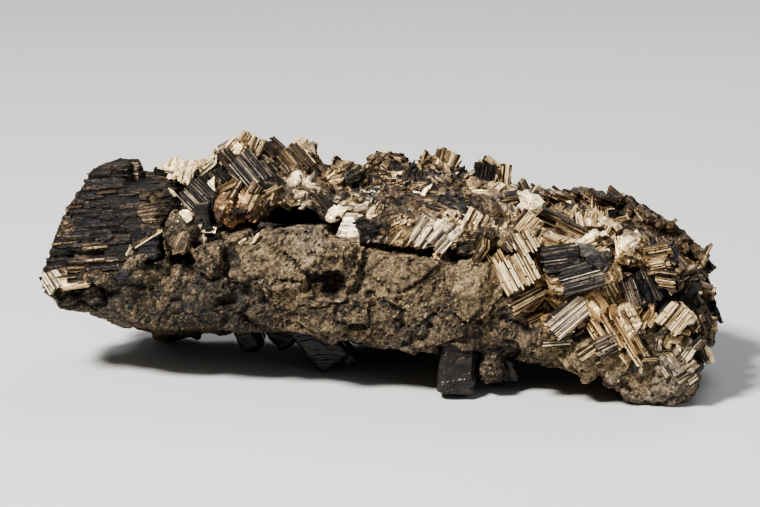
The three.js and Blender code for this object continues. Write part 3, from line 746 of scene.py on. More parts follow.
# ---------------------------------------------------------------- where the plates stand
# Patches of the crust that stand out, at the point of the view where each one lies: the angle of its
# stripes, its tilt, its kind, its length along the stripes and its width across them in millimetres,
# and how many plates its large book has. Where that is 0, the patch only sets how the small plates lie.
PATCHES = (
    # next to the block
    (158, 199, 5, 5, "umber", 5.0, 6.0, 0),
    (150, 215, 8, 0, "umber", 4.0, 5.0, 0),
    # These black patches paint the shade in the hollow beside the block.
    (262, 222, 10, 10, "black", 9.0, 5.0, 0),
    (276, 214, 10, 10, "black", 9.0, 5.0, 0),
    (165, 175, -12, 10, "dark", 5.0, 2.6, 4),
    (168, 168, -10, 25, "white", 4.2, 1.1, 2),
    (200, 171, 44, 25, "white", 9.5, 1.2, 2),
    (196, 197, -45, 5, "blue", 6.5, 8.0, 9),
    (170, 192, 10, 70, "white", 2.8, 1.4, 2),
    (184, 218, -30, 78, "white", 3.8, 4.4, 2),
    (201, 241, 45, 80, "white", 3.0, 3.0, 2),
    # These black patches paint the shade in a hollow.
    (218, 236, 10, 10, "black", 4.0, 4.0, 0),
    (228, 232, 10, 10, "black", 4.0, 4.0, 0),
    (128, 249, 58, 35, "white", 2.6, 1.3, 3),
    (147, 236, 31, 20, "cream", 8.0, 1.2, 3),
    (123, 274, 20, 55, "black", 3.4, 3.0, 3),
    (180, 244, 60, 70, "earth", 6.0, 5.0, 3),
    # the peak
    (233, 149, 50, 12, "cream", 4.2, 3.6, 6),
    (246, 142, 56, 12, "cream", 4.6, 4.2, 7),
    (256, 147, 65, 12, "bronze", 4.2, 3.0, 5),
    (228, 163, -48, 0, "soot", 6.0, 5.0, 7),
    (250, 170, -50, 0, "blue", 8.0, 6.0, 8),
    (215, 174, -50, 10, "soot", 6.0, 5.0, 6),
    (276, 156, -42, 5, "umber", 7.0, 6.0, 8),
    (296, 160, -48, 10, "earth", 7.0, 5.0, 6),
    (268, 182, -40, 0, "soot", 8.0, 4.0, 6),
    (288, 190, -35, 30, "bronze", 4.0, 5.0, 0),
    (303, 203, 20, 35, "silver", 4.0, 5.0, 0),
    (297, 178, -60, 20, "silver", 4.0, 4.0, 0),
    (312, 186, 80, 60, "white", 2.6, 2.2, 2),
    (322, 205, -52, 5, "dark", 6.0, 3.4, 5),
    (318, 168, -40, 10, "umber", 6.0, 5.0, 0),
    # the hollows: black patches that paint their shade
    (243, 232, 10, 10, "black", 9.0, 5.0, 0),
    (290, 218, 10, 10, "black", 9.0, 5.0, 0),
    (308, 212, 10, 10, "black", 6.0, 5.0, 0),
    (330, 226, 10, 10, "black", 4.0, 4.0, 0),
    (347, 221, 10, 10, "black", 4.0, 4.0, 0),
    (360, 228, 10, 10, "black", 4.0, 4.0, 0),
    # the middle
    (257, 237, 45, 60, "white", 4.6, 0.8, 1),
    (243, 241, -20, 60, "white", 2.2, 0.6, 1),
    (330, 165, -20, 20, "brown", 5.0, 5.0, 0),
    (335, 180, 30, 20, "bronze", 5.0, 5.0, 0),
    (372, 182, 50, 20, "bronze", 5.0, 5.0, 0),
    (372, 165, 20, 20, "earth", 5.0, 5.0, 0),
    (395, 190, -30, 20, "earth", 5.0, 5.0, 0),
    (352, 195, 10, 20, "bronze", 5.0, 5.0, 0),
    (337, 211, 30, 60, "white", 4.2, 3.0, 2),
    (357, 213, -15, 55, "silver", 4.4, 3.0, 2),
    (372, 214, 40, 50, "cream", 3.4, 3.6, 3),
    (350, 177, 30, 20, "brown", 5.0, 5.0, 0),
    (340, 195, -30, 30, "brown", 5.0, 5.0, 0),
    (362, 192, 70, 65, "grey", 6.0, 6.0, 0),
    (383, 216, -50, 60, "brown", 6.0, 7.0, 0),
    (392, 168, -30, 20, "brown", 6.0, 5.0, 0),
    (412, 172, 60, 20, "dark", 5.0, 5.0, 0),
    (424, 193, 45, 60, "white", 6.0, 1.8, 2),
    (445, 163, 70, 15, "tan", 6.0, 5.0, 6),
    (470, 169, 10, 60, "tan", 4.0, 3.4, 3),
    (484, 177, 80, 20, "black", 6.0, 4.6, 5),
    (502, 176, 85, 15, "bronze", 5.5, 3.4, 4),
    (520, 184, 50, 10, "bronze", 4.0, 4.4, 4),
    (477, 192, 0, 75, "cream", 4.4, 2.0, 2),
    (455, 203, -20, 30, "dark", 5.0, 5.0, 0),
    (422, 232, 55, 8, "silver", 6.5, 4.6, 7),
    (442, 237, 47, 8, "silver", 6.5, 5.0, 8),
    (404, 226, 40, 20, "tan", 4.0, 4.0, 0),
    (472, 222, 62, 10, "cream", 5.6, 5.0, 8),
    (495, 225, 45, 15, "bronze", 5.0, 5.0, 0),
    (478, 248, 20, 10, "black", 3.0, 2.0, 0),
    (462, 250, 20, 10, "brown", 4.0, 3.0, 0),
    (436, 256, 15, 60, "orange", 4.4, 2.8, 2),
    (400, 252, 70, 20, "pink", 4.0, 5.0, 0),
    (382, 250, 80, 20, "grey", 4.0, 5.0, 0),
    (405, 205, 30, 30, "brown", 5.0, 5.0, 0),
    (433, 210, 0, 30, "brown", 5.0, 5.0, 0),
    (452, 215, 50, 20, "bronze", 4.0, 4.0, 0),
    (458, 190, 20, 20, "brown", 4.0, 4.0, 0),
    (487, 205, 40, 20, "brown", 4.0, 4.0, 0),
    # the right end
    (532, 204, -32, 62, "white", 6.4, 5.2, 4),
    (509, 203, 10, 20, "grey", 4.5, 4.6, 6),
    (526, 224, 50, 8, "cream", 4.8, 4.4, 7),
    (526, 242, -60, 5, "cream", 5.2, 4.6, 8),
    (508, 240, -50, 10, "grey", 4.6, 3.4, 5),
    (517, 272, -62, 5, "cream", 7.4, 8.4, 12),
    (500, 262, -60, 10, "tan", 5.0, 3.4, 4),
    (539, 282, 10, 60, "orange", 3.2, 2.0, 2),
    (528, 297, 28, 5, "bronze", 8.6, 4.0, 6),
    (560, 258, 8, 5, "blue", 8.0, 5.6, 9),
    (585, 276, 15, 0, "blue", 11.0, 6.4, 10),
    (600, 258, 0, 62, "blue", 6.0, 4.6, 3),
    (621, 259, -30, 70, "pink", 3.8, 2.6, 2),
    (618, 273, -60, 60, "pink", 4.2, 3.0, 2),
    (612, 294, -60, 5, "cream", 5.4, 4.6, 8),
    (632, 292, -70, 10, "grey", 6.0, 3.6, 5),
    (568, 316, 40, 8, "silver", 10.0, 5.2, 9),
    (593, 310, -55, 62, "yellow", 7.2, 3.6, 2),
    (549, 307, 20, 40, "orange", 5.0, 4.0, 0),
    (613, 330, -60, 20, "yellow", 9.0, 1.2, 2),
    (620, 328, -58, 20, "orange", 10.0, 1.2, 2),
    (627, 334, -60, 20, "orange", 10.0, 1.1, 2),
    (634, 328, -60, 20, "tan", 10.0, 1.1, 2),
    (642, 336, -62, 20, "bronze", 8.0, 1.1, 2),
    (606, 345, 26, 5, "grey", 5.2, 4.6, 6),
    (557, 340, 4, 5, "grey", 6.6, 2.6, 4),
    (556, 224, -24, 12, "bronze", 9.0, 4.6, 6),
    (575, 235, -26, 12, "brown", 9.0, 4.6, 6),
    (592, 218, 72, 10, "cream", 2.6, 4.6, 6),
    (604, 229, 62, 10, "cream", 2.4, 2.4, 4),
    (617, 234, -50, 30, "cream", 3.0, 3.0, 3),
    (630, 243, 30, 40, "silver", 3.0, 3.4, 3),
    (645, 251, -60, 25, "cream", 3.6, 2.6, 4),
    (659, 258, 10, 5, "tan", 5.2, 6.2, 9),
    (667, 279, -8, 5, "bronze", 4.0, 4.0, 6),
    (650, 285, -66, 10, "black", 8.0, 5.0, 6),
    (664, 300, -60, 15, "black", 7.0, 4.0, 5),
    (674, 292, -35, 62, "white", 4.6, 2.0, 2),
    (675, 318, 50, 8, "cream", 6.0, 5.4, 9),
    (691, 314, -50, 55, "white", 3.4, 2.4, 2),
    (649, 317, 60, 20, "tan", 3.6, 3.6, 4),
    (681, 343, 26, 72, "cream", 4.6, 2.8, 2),
    (661, 346, 60, 20, "grey", 4.0, 3.4, 4),
    (708, 356, -60, 50, "cream", 4.4, 2.8, 3),
    # the ridge
    (640, 226, -35, 10, "earth", 7.0, 4.0, 0),
    (652, 234, -38, 10, "umber", 7.0, 4.0, 0),
    (664, 240, -42, 10, "earth", 7.0, 5.0, 0),
    (676, 252, -45, 10, "umber", 7.0, 5.0, 0),
    (682, 268, -50, 10, "earth", 7.0, 5.0, 0),
    (692, 268, -55, 10, "umber", 7.0, 5.0, 0),
    (698, 286, -60, 10, "earth", 7.0, 5.0, 0),
    (700, 304, -65, 10, "umber", 6.0, 5.0, 0),
    (706, 324, -70, 10, "earth", 6.0, 5.0, 0),
    # the right end's lower edge
    (692, 366, -55, 20, "grey", 4.6, 4.0, 4),
    (536, 318, 25, 20, "tan", 4.0, 3.0, 3),
    (552, 322, 15, 20, "orange", 4.0, 3.0, 3),
    (560, 331, 15, 10, "bronze", 6.0, 2.4, 3),
    (577, 338, 32, 10, "silver", 5.0, 2.6, 3),
    (587, 350, 34, 10, "tan", 5.0, 2.4, 3),
    (596, 334, -60, 15, "yellow", 6.0, 1.4, 2),
    (604, 332, -58, 15, "orange", 7.5, 1.3, 2),
    (612, 353, 25, 10, "grey", 4.0, 2.0, 3),
    (623, 350, -60, 15, "yellow", 7.0, 1.2, 2),
    (633, 352, -58, 15, "tan", 7.0, 1.2, 2),
    (645, 350, -60, 20, "cream", 5.0, 2.0, 3),
    (656, 340, 40, 20, "tan", 4.0, 3.0, 4),
    (670, 352, 28, 30, "cream", 4.0, 2.6, 3),
    (684, 352, 60, 20, "silver", 4.0, 2.6, 3),
    # small plates only
    (600, 322, -60, 20, "yellow", 4.0, 4.0, 0),
    (628, 302, -65, 15, "cream", 4.0, 4.0, 0),
    (655, 322, 55, 20, "cream", 4.0, 4.0, 0),
    (640, 348, -60, 20, "cream", 4.0, 4.0, 0),
    (655, 335, 30, 30, "silver", 4.0, 4.0, 0),
    (668, 355, 20, 40, "silver", 4.0, 4.0, 0),
    (692, 338, 50, 30, "tan", 4.0, 4.0, 0),
    (574, 298, 15, 10, "tan", 4.0, 4.0, 0),
    (580, 328, 30, 20, "cream", 4.0, 4.0, 0),
    (592, 244, 30, 30, "cream", 4.0, 4.0, 0),
    (562, 244, -20, 30, "tan", 4.0, 4.0, 0),
    (625, 250, -60, 30, "cream", 4.0, 4.0, 0),
    (540, 264, 20, 30, "tan", 4.0, 4.0, 0),
    (548, 322, 20, 40, "cream", 4.0, 4.0, 0),
    (580, 342, 30, 20, "silver", 4.0, 4.0, 0),
    (590, 356, 26, 20, "grey", 4.0, 4.0, 0),
    (545, 200, -25, 20, "brown", 5.0, 5.0, 0),
    (580, 205, -25, 20, "brown", 5.0, 5.0, 0),
    (610, 212, -30, 20, "umber", 5.0, 5.0, 0),
    (635, 228, -35, 20, "umber", 5.0, 5.0, 0),
    (660, 372, 30, 30, "grey", 5.0, 5.0, 0),
    (640, 365, 60, 20, "dark", 5.0, 5.0, 0),
)
# The same for the block at the left end, and for the lump at the foot of the right end.
BLOCK_PATCHES = (
    (53, 281, -58, 5, "silver", 4.2, 4.4, 8),
    (66, 241, 5, 15, "tan", 5.5, 0.4, 1),
    (88, 237, 8, 15, "bronze", 4.5, 0.4, 1),
    (101, 245, 8, 15, "tan", 5.0, 0.4, 1),
    (63, 252, 4, 15, "bronze", 5.0, 0.5, 1),
    (80, 256, 6, 15, "tan", 5.5, 0.4, 1),
    (98, 258, 8, 15, "bronze", 4.5, 0.5, 1),
    (74, 266, 6, 15, "cream", 7.0, 0.4, 1),
    (94, 270, 10, 25, "tan", 4.2, 0.8, 2),
    (68, 275, 8, 15, "tan", 5.0, 0.6, 1),
    (78, 282, 9, 40, "cream", 7.0, 1.2, 2),
    (75, 205, 8, 15, "bronze", 4.0, 0.4, 1),
    (110, 190, 8, 15, "bronze", 4.5, 0.4, 1),
    (120, 228, 6, 15, "bronze", 4.0, 0.4, 1),
    (134, 170, 0, 5, "grey", 1.9, 5.0, 7),
    (112, 158, 28, 15, "tan", 3.4, 1.8, 3),
    (80, 222, 5, 0, "black", 5.0, 3.0, 0),
    (106, 225, 5, 0, "black", 5.0, 3.0, 0),
    (66, 224, 5, 0, "dark", 5.0, 3.0, 0),
)
LUMP_PATCHES = (
    (637, 366, 85, 10, "grey", 3.2, 2.4, 5),
    (646, 358, 10, 15, "cream", 3.6, 0.9, 2),
    (664, 352, 12, 15, "cream", 3.8, 0.9, 2),
    (655, 345, 80, 15, "silver", 3.0, 2.4, 4),
    (666, 341, 70, 15, "tan", 2.8, 2.2, 4),
    (680, 341, 20, 60, "white", 4.2, 2.0, 2),
    (675, 362, -60, 15, "silver", 3.2, 2.0, 4),
    (687, 352, 55, 10, "silver", 3.2, 2.4, 4),
    (697, 342, 45, 10, "grey", 3.2, 2.4, 4),
    (690, 366, 40, 15, "silver", 3.4, 1.8, 4),
    (700, 357, -50, 20, "dark", 3.2, 2.2, 4),
    (682, 375, 30, 20, "grey", 2.8, 1.6, 3),
    (691, 377, 35, 20, "silver", 2.4, 1.6, 3),
    (667, 371, -55, 15, "grey", 2.2, 2.0, 3),
)
# The kinds of the patches between those, and how often each one comes.
CRUST_NAMES = ("cream", "silver", "tan", "bronze", "brown", "grey", "dark", "blue", "pink")
CRUST_SHARES = (0.06, 0.06, 0.10, 0.24, 0.26, 0.10, 0.1, 0.03, 0.05)
RIDGE_NAMES = ("umber", "earth", "dark", "brown")
RIDGE_SHARES = (0.45, 0.3, 0.17, 0.08)
BLOCK_NAMES = ("soot", "dark", "black")
BLOCK_SHARES = (0.68, 0.1, 0.22)
# About how far apart they are, and how fine the form is that their places are found on.
CRUST_SPACING, CRUST_FORM = 6.0 * MM, 1.2 * MM
RIDGE_SPACING, RIDGE_FORM = 8.0 * MM, 1.2 * MM
BLOCK_SPACING, BLOCK_FORM = 5.0 * MM, 1.0 * MM
SPACING_SPREAD = (0.75, 1.25)
# The most places tried for them, and how many points are looked at in one go.
TRIES = 9000
CHUNK = 8192

# In degrees: the tilt past which plates show their flat faces, and how the layers of the block, of the
# ridge and of the crust lie.
FLAT_TILT = 45
BLOCK_STRIPES, BLOCK_TILT = 5, 2
RIDGE_STRIPES, RIDGE_TURNS, RIDGE_TILTS = -30, (-14, 10), (-10, 35)
STANDING_OFTEN, STANDING_LEANS, LYING_LEANS = 0.93, (-20, 28), (35, 60)

# Large books, in millimetres: the size up to which they set no patch, the width up to which they run
# along the surface, their depth, the thickness of a plate that lies flat and of one that stands on
# edge, how far thick and thin ones stand out, and how much further those of the lump do.
SLIM = 2.2
THIN = 1.5
BOOK_DEPTH = 3.4
FLAT_PITCH, EDGE_PITCH = 0.45, 0.3
PROUD, THIN_PROUD, LUMP_PROUD = 0.95, 0.6, 0.45
# How many times one of its plates may break, and how ragged they are for each millimetre and at most.
BREAKS = 1
RAGGED, MOST_RAGGED = 0.16, 0.9
# The share of a large book's size that is kept clear of small plates, and the height kept clear of them.
KEPT_CLEAR = 0.52
FLOOR_ROOM = 1.5 * MM
# A patch reaches further the larger its book is, up to a size in millimetres.
LEAST_REACH, REACH_GAIN, REACH_SIZE = 0.6, 0.5, 6


class Patches:
    """Which way the plates lie in each patch of a surface, and how light and warm they are."""

    def __init__(self):
        self.seats, self.layers, self.kinds, self.reaches = [], [], [], []

    def add(self, seat, layer, kind, reach):
        """Adds a patch: its middle, the way across its plates, their kind and its reach beside others."""
        self.seats.append(np.array(seat))
        self.layers.append(np.array(layer) / np.linalg.norm(layer))
        self.kinds.append(kind)
        self.reaches.append(reach)

    def clear_of(self, spot, room):
        """Whether no patch's middle lies within some room of a place."""
        if not self.seats:
            return True
        return np.linalg.norm(np.array(self.seats) - spot, axis=1).min() > room

    def owners(self, points):
        """The patch that each point belongs to, and how far it is from the next patch."""
        seats, reaches = np.array(self.seats), np.array(self.reaches)
        owner = np.empty(len(points), int)
        border = np.empty(len(points))
        for start in range(0, len(points), CHUNK):
            part = points[start:start + CHUNK]
            far = np.linalg.norm(part[:, None, :] - seats[None], axis=2) / reaches
            order = np.argpartition(far, 1, axis=1)[:, :2]
            near = np.take_along_axis(far, order, axis=1)
            swap = near[:, 0] > near[:, 1]
            first = np.where(swap, order[:, 1], order[:, 0])
            owner[start:start + CHUNK] = first
            border[start:start + CHUNK] = np.abs(near[:, 1] - near[:, 0]) * reaches[first]
        return owner, border


def random_layer(facing, draw):
    """A random way for plates to lie on the crust: most stand on edge, some lie flat."""
    side = np.cross(facing, draw.normal(size=3))
    side /= np.linalg.norm(side)
    leans = STANDING_LEANS if draw.random() < STANDING_OFTEN else LYING_LEANS
    lean = math.radians(draw.uniform(*leans))
    return math.cos(lean) * side + math.sin(lean) * facing


def block_layer(facing, draw):
    """The block's layers lie nearly level, and rise a little towards the right."""
    return lie(BLOCK_STRIPES, BLOCK_TILT)[2]


def ridge_layer(facing, draw):
    """The ridge's layers all run down to the right."""
    return lie(RIDGE_STRIPES + draw.uniform(*RIDGE_TURNS), draw.uniform(*RIDGE_TILTS))[2]


def add_patches(patches, rows):
    """Adds the patches that stand out, apart from the slim ones."""
    for px, py, stripes, tilt, kind, length, width, _ in rows:
        seen = ground.seen(px, py)
        if seen and min(length, width) > SLIM:
            reach = LEAST_REACH + REACH_GAIN * min(1, max(length, width) / REACH_SIZE)
            patches.add(seen[0], lie(stripes, tilt)[2], KINDS[kind], reach)


def fill_patches(patches, node, voxel, spacing, draw, names, shares, layer_at):
    """Adds random patches wherever a CAD node has none yet, about one for each spacing."""
    form = remeshed(node, "rough_form", voxel)
    points, facings = points_of(form.data), normals_of(form.data)
    bpy.data.objects.remove(form)
    for index in draw.permutation(len(points))[:TRIES]:
        if patches.clear_of(points[index], spacing * draw.uniform(*SPACING_SPREAD)):
            layer = layer_at(facings[index], draw)
            kind = KINDS[names[draw.choice(len(names), p=shares)]]
            patches.add(points[index], layer, kind, 1.0)


def make_patches(draw):
    """All patches of the crust, the ridge and the block."""
    patches = Patches()
    add_patches(patches, PATCHES + BLOCK_PATCHES)
    for node, spacing, voxel, names, shares, layer_at in (
        ("bladed_crust", CRUST_SPACING, CRUST_FORM, CRUST_NAMES, CRUST_SHARES, random_layer),
        ("bladed_ridge_back", RIDGE_SPACING, RIDGE_FORM, RIDGE_NAMES, RIDGE_SHARES, ridge_layer),
        ("striated_crystal_left", BLOCK_SPACING, BLOCK_FORM, BLOCK_NAMES, BLOCK_SHARES, block_layer),
    ):
        fill_patches(patches, node, voxel, spacing, draw, names, shares, layer_at)
    return patches


def open_room(points, rows):
    """Where small plates may stand: clear of the large books, of the black patches, which paint the shade in
    the hollows, and of the floor.
    """
    room = np.ones(len(points))
    for px, py, stripes, tilt, kind, length, width, plates in rows:
        seen = ground.seen(px, py)
        if seen is None or not (plates or kind == "black"):
            continue
        along, out, layer = lie(stripes, tilt)
        across = out if tilt > FLAT_TILT else layer
        away = (points - np.array(seen[0])) / MM
        far = np.maximum(np.abs(away @ along) / length, np.abs(away @ across) / width)
        near = np.linalg.norm(away, axis=1) < max(length, width)
        room[near & (far < KEPT_CLEAR)] = 0.0
    return room * (points[:, 2] > FLOOR_ROOM)


# ---------------------------------------------------------------- layers
# In millimetres: how thick a layer is, how long a brick is, how far it stands out and how rough it is.
CRUST_SIZES = (0.95, 7.0, 0.7, 0.2)
RIDGE_SIZES = (1.3, 9.0, 1.2, 0.2)
BLOCK_SIZES = (0.95, 5.0, 0.55, 0.15)
# Where layers lie nearly along the surface, their stripes run across this other way instead.
NEARLY_ALONG = 0.2
SPARE_WAY = (0.3, 0.2, 0.9)
# Bricks are counted square to this way, and each layer's are stretched and slid by an amount of its own.
BRICK_WAY = (0.31, 0.82, 0.47)
BRICK_STRETCH, BRICK_SLIDE = 0.6, 7
# As shares of how far bricks stand out: how much of that lies under the form, how much patches differ,
# and how deep the seams between them are. Then how much lighter a brick that stands out is painted, and
# how much darker a sunk one or a seam: painted light and shade.
BRICK_SUNK, PATCH_STEP, SEAM_DEPTH = 0.62, 0.9, 0.5
RELIEF_LIGHT_AND_SHADE = 0.25
# The width of a seam, and the size of the fine roughness.
SEAM_WIDTH = 0.45 * MM
FINE_SIZE = 0.9 * MM


def unit(vectors):
    """The vectors of a list, each at a length of 1."""
    return vectors / np.linalg.norm(vectors, axis=1)[:, None]


def terrace(mesh, patches, sizes, seed, joined=False):
    """Breaks a surface into layers and bricks that stand out by different amounts, as cleaved crystal
    does, and keeps how the layers lie for the plates and the finish. The sizes in millimetres are a
    layer's thickness, a brick's length, how far bricks stand out and how rough they are. Joined patches
    share their layers. Gives the surface's new points."""
    pitch, brick, step, roughness = (size * MM for size in sizes)
    points, facings = points_of(mesh), normals_of(mesh)
    owner, border = patches.owners(points)
    layers = np.array(patches.layers)[owner]
    tones, warmths, contrasts = np.array(patches.kinds)[owner].T
    own = np.zeros_like(owner) if joined else owner
    along = np.cross(facings, layers)
    flat = np.linalg.norm(along, axis=1) < NEARLY_ALONG
    along[flat] = np.cross(layers[flat], SPARE_WAY)
    along = unit(along)
    rank = np.floor((points * layers).sum(1) / pitch + number01(own, seed)).astype(int)
    slide = hash01(np.stack([own, rank, rank], 1), seed + 1)
    row_way = unit(np.cross(layers, BRICK_WAY))
    row = (points * row_way).sum(1) / brick * (BRICK_STRETCH + slide) + slide * BRICK_SLIDE
    row = np.floor(row).astype(int)
    cell = np.stack([own, rank, row], 1)
    lift = (hash01(cell, seed + 2) - BRICK_SUNK) * step
    lift += (number01(own, seed + 3) - 0.5) * step * PATCH_STEP
    lift += smooth_noise(points, FINE_SIZE, seed + 4) * roughness
    if not joined:
        lift -= edge(border, SEAM_WIDTH) * step * SEAM_DEPTH
    points = points + facings * lift[:, None]
    put_points(mesh, points)
    sheet = np.stack([(points * axis).sum(1) for axis in (along, np.cross(layers, along), layers)], 1)
    # Bricks that stand out are painted lighter, and sunk ones and seams darker: painted light and shade.
    depth = np.clip(lift / step, -1, 0.5)
    tone = tones + (hash01(cell, seed + 5) - 0.5) * contrasts + depth * RELIEF_LIGHT_AND_SHADE
    paint(mesh, layer=layers, along=along, sheet=sheet / MM, tone=tone, warmth=warmths)
    paint(mesh, kind_tone=tones, kind_contrast=contrasts)
    return points


def make_layered(node, name, slot, finish, voxel, patches, rows, sizes, seed, joined=False):
    """A CAD form broken into layers, with what the scatter tree needs to know."""
    piece = remeshed(node, name, voxel)
    points = terrace(piece.data, patches, sizes, seed, joined)
    paint(piece.data, room=open_room(points, rows))
    return finished(piece, slot, finish, node)


# ---------------------------------------------------------------- scattering by Geometry Nodes
SCATTER_SOCKETS = (
    ("Surface", "NodeSocketGeometry", None),
    ("Shapes", "NodeSocketCollection", None),
    ("Apart", "NodeSocketFloat", 2 * MM),
    ("Density", "NodeSocketFloat", 1e6),
    ("Seed", "NodeSocketInt", 1),
    ("Smallest", "NodeSocketFloat", 0.6),
    ("Largest", "NodeSocketFloat", 1.3),
    ("Sink", "NodeSocketFloat", 0.0),
    ("Wobble", "NodeSocketFloat", 0.2),
    ("Contrast", "NodeSocketFloat", 0.5),
    ("Finish", "NodeSocketMaterial", None),
)
# The least and the greatest share of the given depth that a shape is sunk by, how much its tone shifts,
# and the largest of the random numbers that pick the shapes.
SINKS = (0.4, 1.6)
TONE_SHIFT = 0.13
LAST_PICK = 1000
# The books that are scattered: how many differ, their length, their depth and the thickness of a plate
# in millimetres, how many plates they have in turn, how ragged they are, and a seed.
BOOKS = {
    "book": (14, 5.4, 2.6, 0.45, (6, 4, 5, 7), 0.8, 101),
    "fragment": (14, 2.2, 1.2, 0.3, (2, 3, 1, 2), 0.6, 127),
    "small_book": (14, 4.4, 1.4, 0.36, (3, 2, 4, 2), 0.9, 103),
    "ridge_lath": (10, 4.6, 1.4, 0.42, (3, 4, 2), 0.9, 109),
    "block_lath": (12, 2.6, 1.1, 0.4, (1, 2, 1, 3), 0.7, 113),
}
BOOK_STRETCH = (0.8, 1.25)
# The grains that are scattered: how many differ, their size in millimetres, and a seed.
GRAINS = {
    "grain": (8, 0.25, 61),
    "crumb": (10, 0.26, 107),
    "buff_grain": (8, 0.4, 147),
}
# How far a grain's tips reach, and how far they are out of line, as shares of its size.
TIP_REACH, TIP_SHIFT = (0.6, 1.3), 0.25
# How each piece is scattered: how far apart its shapes are in millimetres, a seed, their least and their
# greatest stretch, how deep they are sunk in millimetres, how far they tip in radians and how much their
# tones differ.
SCATTERS = {
    "rock_grains": (0.8, 7, 0.5, 1.5, 0.04, 3.0, 0.6),
    "crust_books": (2.5, 12, 0.6, 1.2, 1.05, 0.05, 1.0),
    "crust_fragments": (1.0, 29, 0.5, 1.3, 0.4, 0.3, 2.4),
    "crust_small_books": (1.6, 13, 0.5, 1.2, 0.52, 0.08, 1.1),
    "crust_crumbs": (1.1, 17, 0.4, 1.7, 0.0, 3.0, 1.2),
    "ridge_laths": (2.0, 19, 0.6, 1.2, 0.8, 0.03, 0.6),
    "block_laths": (1.2, 23, 0.5, 1.2, 0.6, 0.012, 1.0),
    "buff_grains": (0.65, 29, 0.5, 1.5, 0.0, 3.0, 1.4),
}


def scatter_tree():
    """A tree that sets small shapes on a surface, lying as the surface's layers lie, and makes them real."""
    tree = bpy.data.node_groups.new("scatter", "GeometryNodeTree")
    for name, kind, value in SCATTER_SOCKETS:
        socket = tree.interface.new_socket(name, in_out="INPUT", socket_type=kind)
        if value is not None:
            socket.default_value = value
    tree.interface.new_socket("Shapes made", in_out="OUTPUT", socket_type="NodeSocketGeometry")
    graph = Graph(tree)
    given = graph.node("NodeGroupInput")
    seed = given.out("Seed")

    def kept(name, kind="FLOAT"):
        return graph.node("GeometryNodeInputNamedAttribute", {"data_type": kind}, {"Name": name})

    def drawn(low, high, step):
        values = {2: low, 3: high, 8: seed + step}
        return graph.node("FunctionNodeRandomValue", {"data_type": "FLOAT"}, values, 1)

    def stored(geometry, name, value):
        settings = {"data_type": "FLOAT", "domain": "POINT"}
        values = {"Geometry": geometry, "Name": name, "Value": value}
        return graph.node("GeometryNodeStoreNamedAttribute", settings, values)

    def along_axes(value_at):
        values = {axis: value_at(number) for number, axis in enumerate("XYZ")}
        return graph.node("ShaderNodeCombineXYZ", None, values)

    spots = graph.node("GeometryNodeDistributePointsOnFaces", {"distribute_method": "POISSON"}, {
        "Mesh": given.out("Surface"),
        "Distance Min": given.out("Apart"),
        "Density Max": given.out("Density"),
        "Density Factor": kept("room"),
        "Seed": seed,
    })
    sunk = graph.node("ShaderNodeVectorMath", {"operation": "SCALE"}, {
        0: spots.out("Normal"),
        "Scale": 0 - given.out("Sink") * drawn(*SINKS, 1),
    })
    seated = graph.node("GeometryNodeSetPosition", None, {"Geometry": spots, "Offset": sunk})
    seated = stored(seated, "shift", drawn(-TONE_SHIFT, TONE_SHIFT, 9))
    upright = graph.node("FunctionNodeAlignRotationToVector", {"axis": "Z"}, {
        "Vector": kept("layer", "FLOAT_VECTOR"),
    })
    turned = graph.node("FunctionNodeAlignRotationToVector", {"axis": "X", "pivot_axis": "Z"}, {
        "Rotation": upright,
        "Vector": kept("along", "FLOAT_VECTOR"),
    })
    wobble = given.out("Wobble")
    tips = along_axes(lambda number: wobble * drawn(-1.0, 1.0, 2 + number))
    tipped = graph.node("FunctionNodeRotateRotation", {"rotation_space": "LOCAL"}, {
        "Rotation": turned,
        "Rotate By": graph.node("FunctionNodeEulerToRotation", None, {"Euler": tips}),
    })
    sizes = along_axes(lambda number: drawn(given.out("Smallest"), given.out("Largest"), 5 + number))
    shapes = graph.node("GeometryNodeCollectionInfo", {"transform_space": "ORIGINAL"}, {
        "Collection": given.out("Shapes"),
        "Separate Children": True,
        "Reset Children": True,
    })
    pick = graph.node("FunctionNodeRandomValue", {"data_type": "INT"}, {4: 0, 5: LAST_PICK, 8: seed + 8}, 2)
    placed = graph.node("GeometryNodeInstanceOnPoints", None, {
        "Points": seated,
        "Instance": shapes,
        "Pick Instance": True,
        "Instance Index": pick,
        "Rotation": tipped,
        "Scale": sizes,
    })
    real = graph.node("GeometryNodeRealizeInstances", None, {"Geometry": placed})
    own = (kept("own_tone") - 0.5) * given.out("Contrast") * kept("kind_contrast")
    toned = stored(real, "tone", kept("kind_tone") + kept("shift") + own)
    done = graph.node("GeometryNodeSetMaterial", None, {"Geometry": toned, "Material": given.out("Finish")})
    graph.node("NodeGroupOutput", None, {"Shapes made": done})
    return tree


SCATTER = scatter_tree()


def scattered(surface, name, finish, shapes):
    """The small shapes that the scatter tree sets on a surface, as one mesh of their own."""
    apart, seed, smallest, largest, sink, wobble, contrast = SCATTERS[name]
    thing = new_object(name + "_seats", surface.data.copy())
    change = thing.modifiers.new("scatter", "NODES")
    change.node_group = SCATTER
    values = {
        "Shapes": shapes,
        "Apart": apart * MM,
        "Seed": seed,
        "Smallest": smallest,
        "Largest": largest,
        "Sink": sink * MM,
        "Wobble": wobble,
        "Contrast": contrast,
        "Finish": finish,
    }
    for socket in SCATTER.interface.items_tree:
        if socket.in_out == "INPUT" and socket.name in values:
            change[socket.identifier] = values[socket.name]
    return baked(thing, name)


def paint_plain(mesh, tone, contrast):
    """Keeps what the scatter tree reads on a surface without layers, where shapes follow its normals."""
    along = np.tile((1.0, 0.0, 0.0), (len(mesh.vertices), 1))
    paint(mesh, layer=normals_of(mesh), along=along, kind_tone=tone, kind_contrast=contrast)


def shape_collection(name, meshes):
    """A collection of small shapes for the scatter tree to choose from. It is in no scene."""
    made = bpy.data.collections.new(name)
    for number, mesh in enumerate(meshes):
        made.objects.link(bpy.data.objects.new(f"{name}_{number:02d}", mesh))
    return made


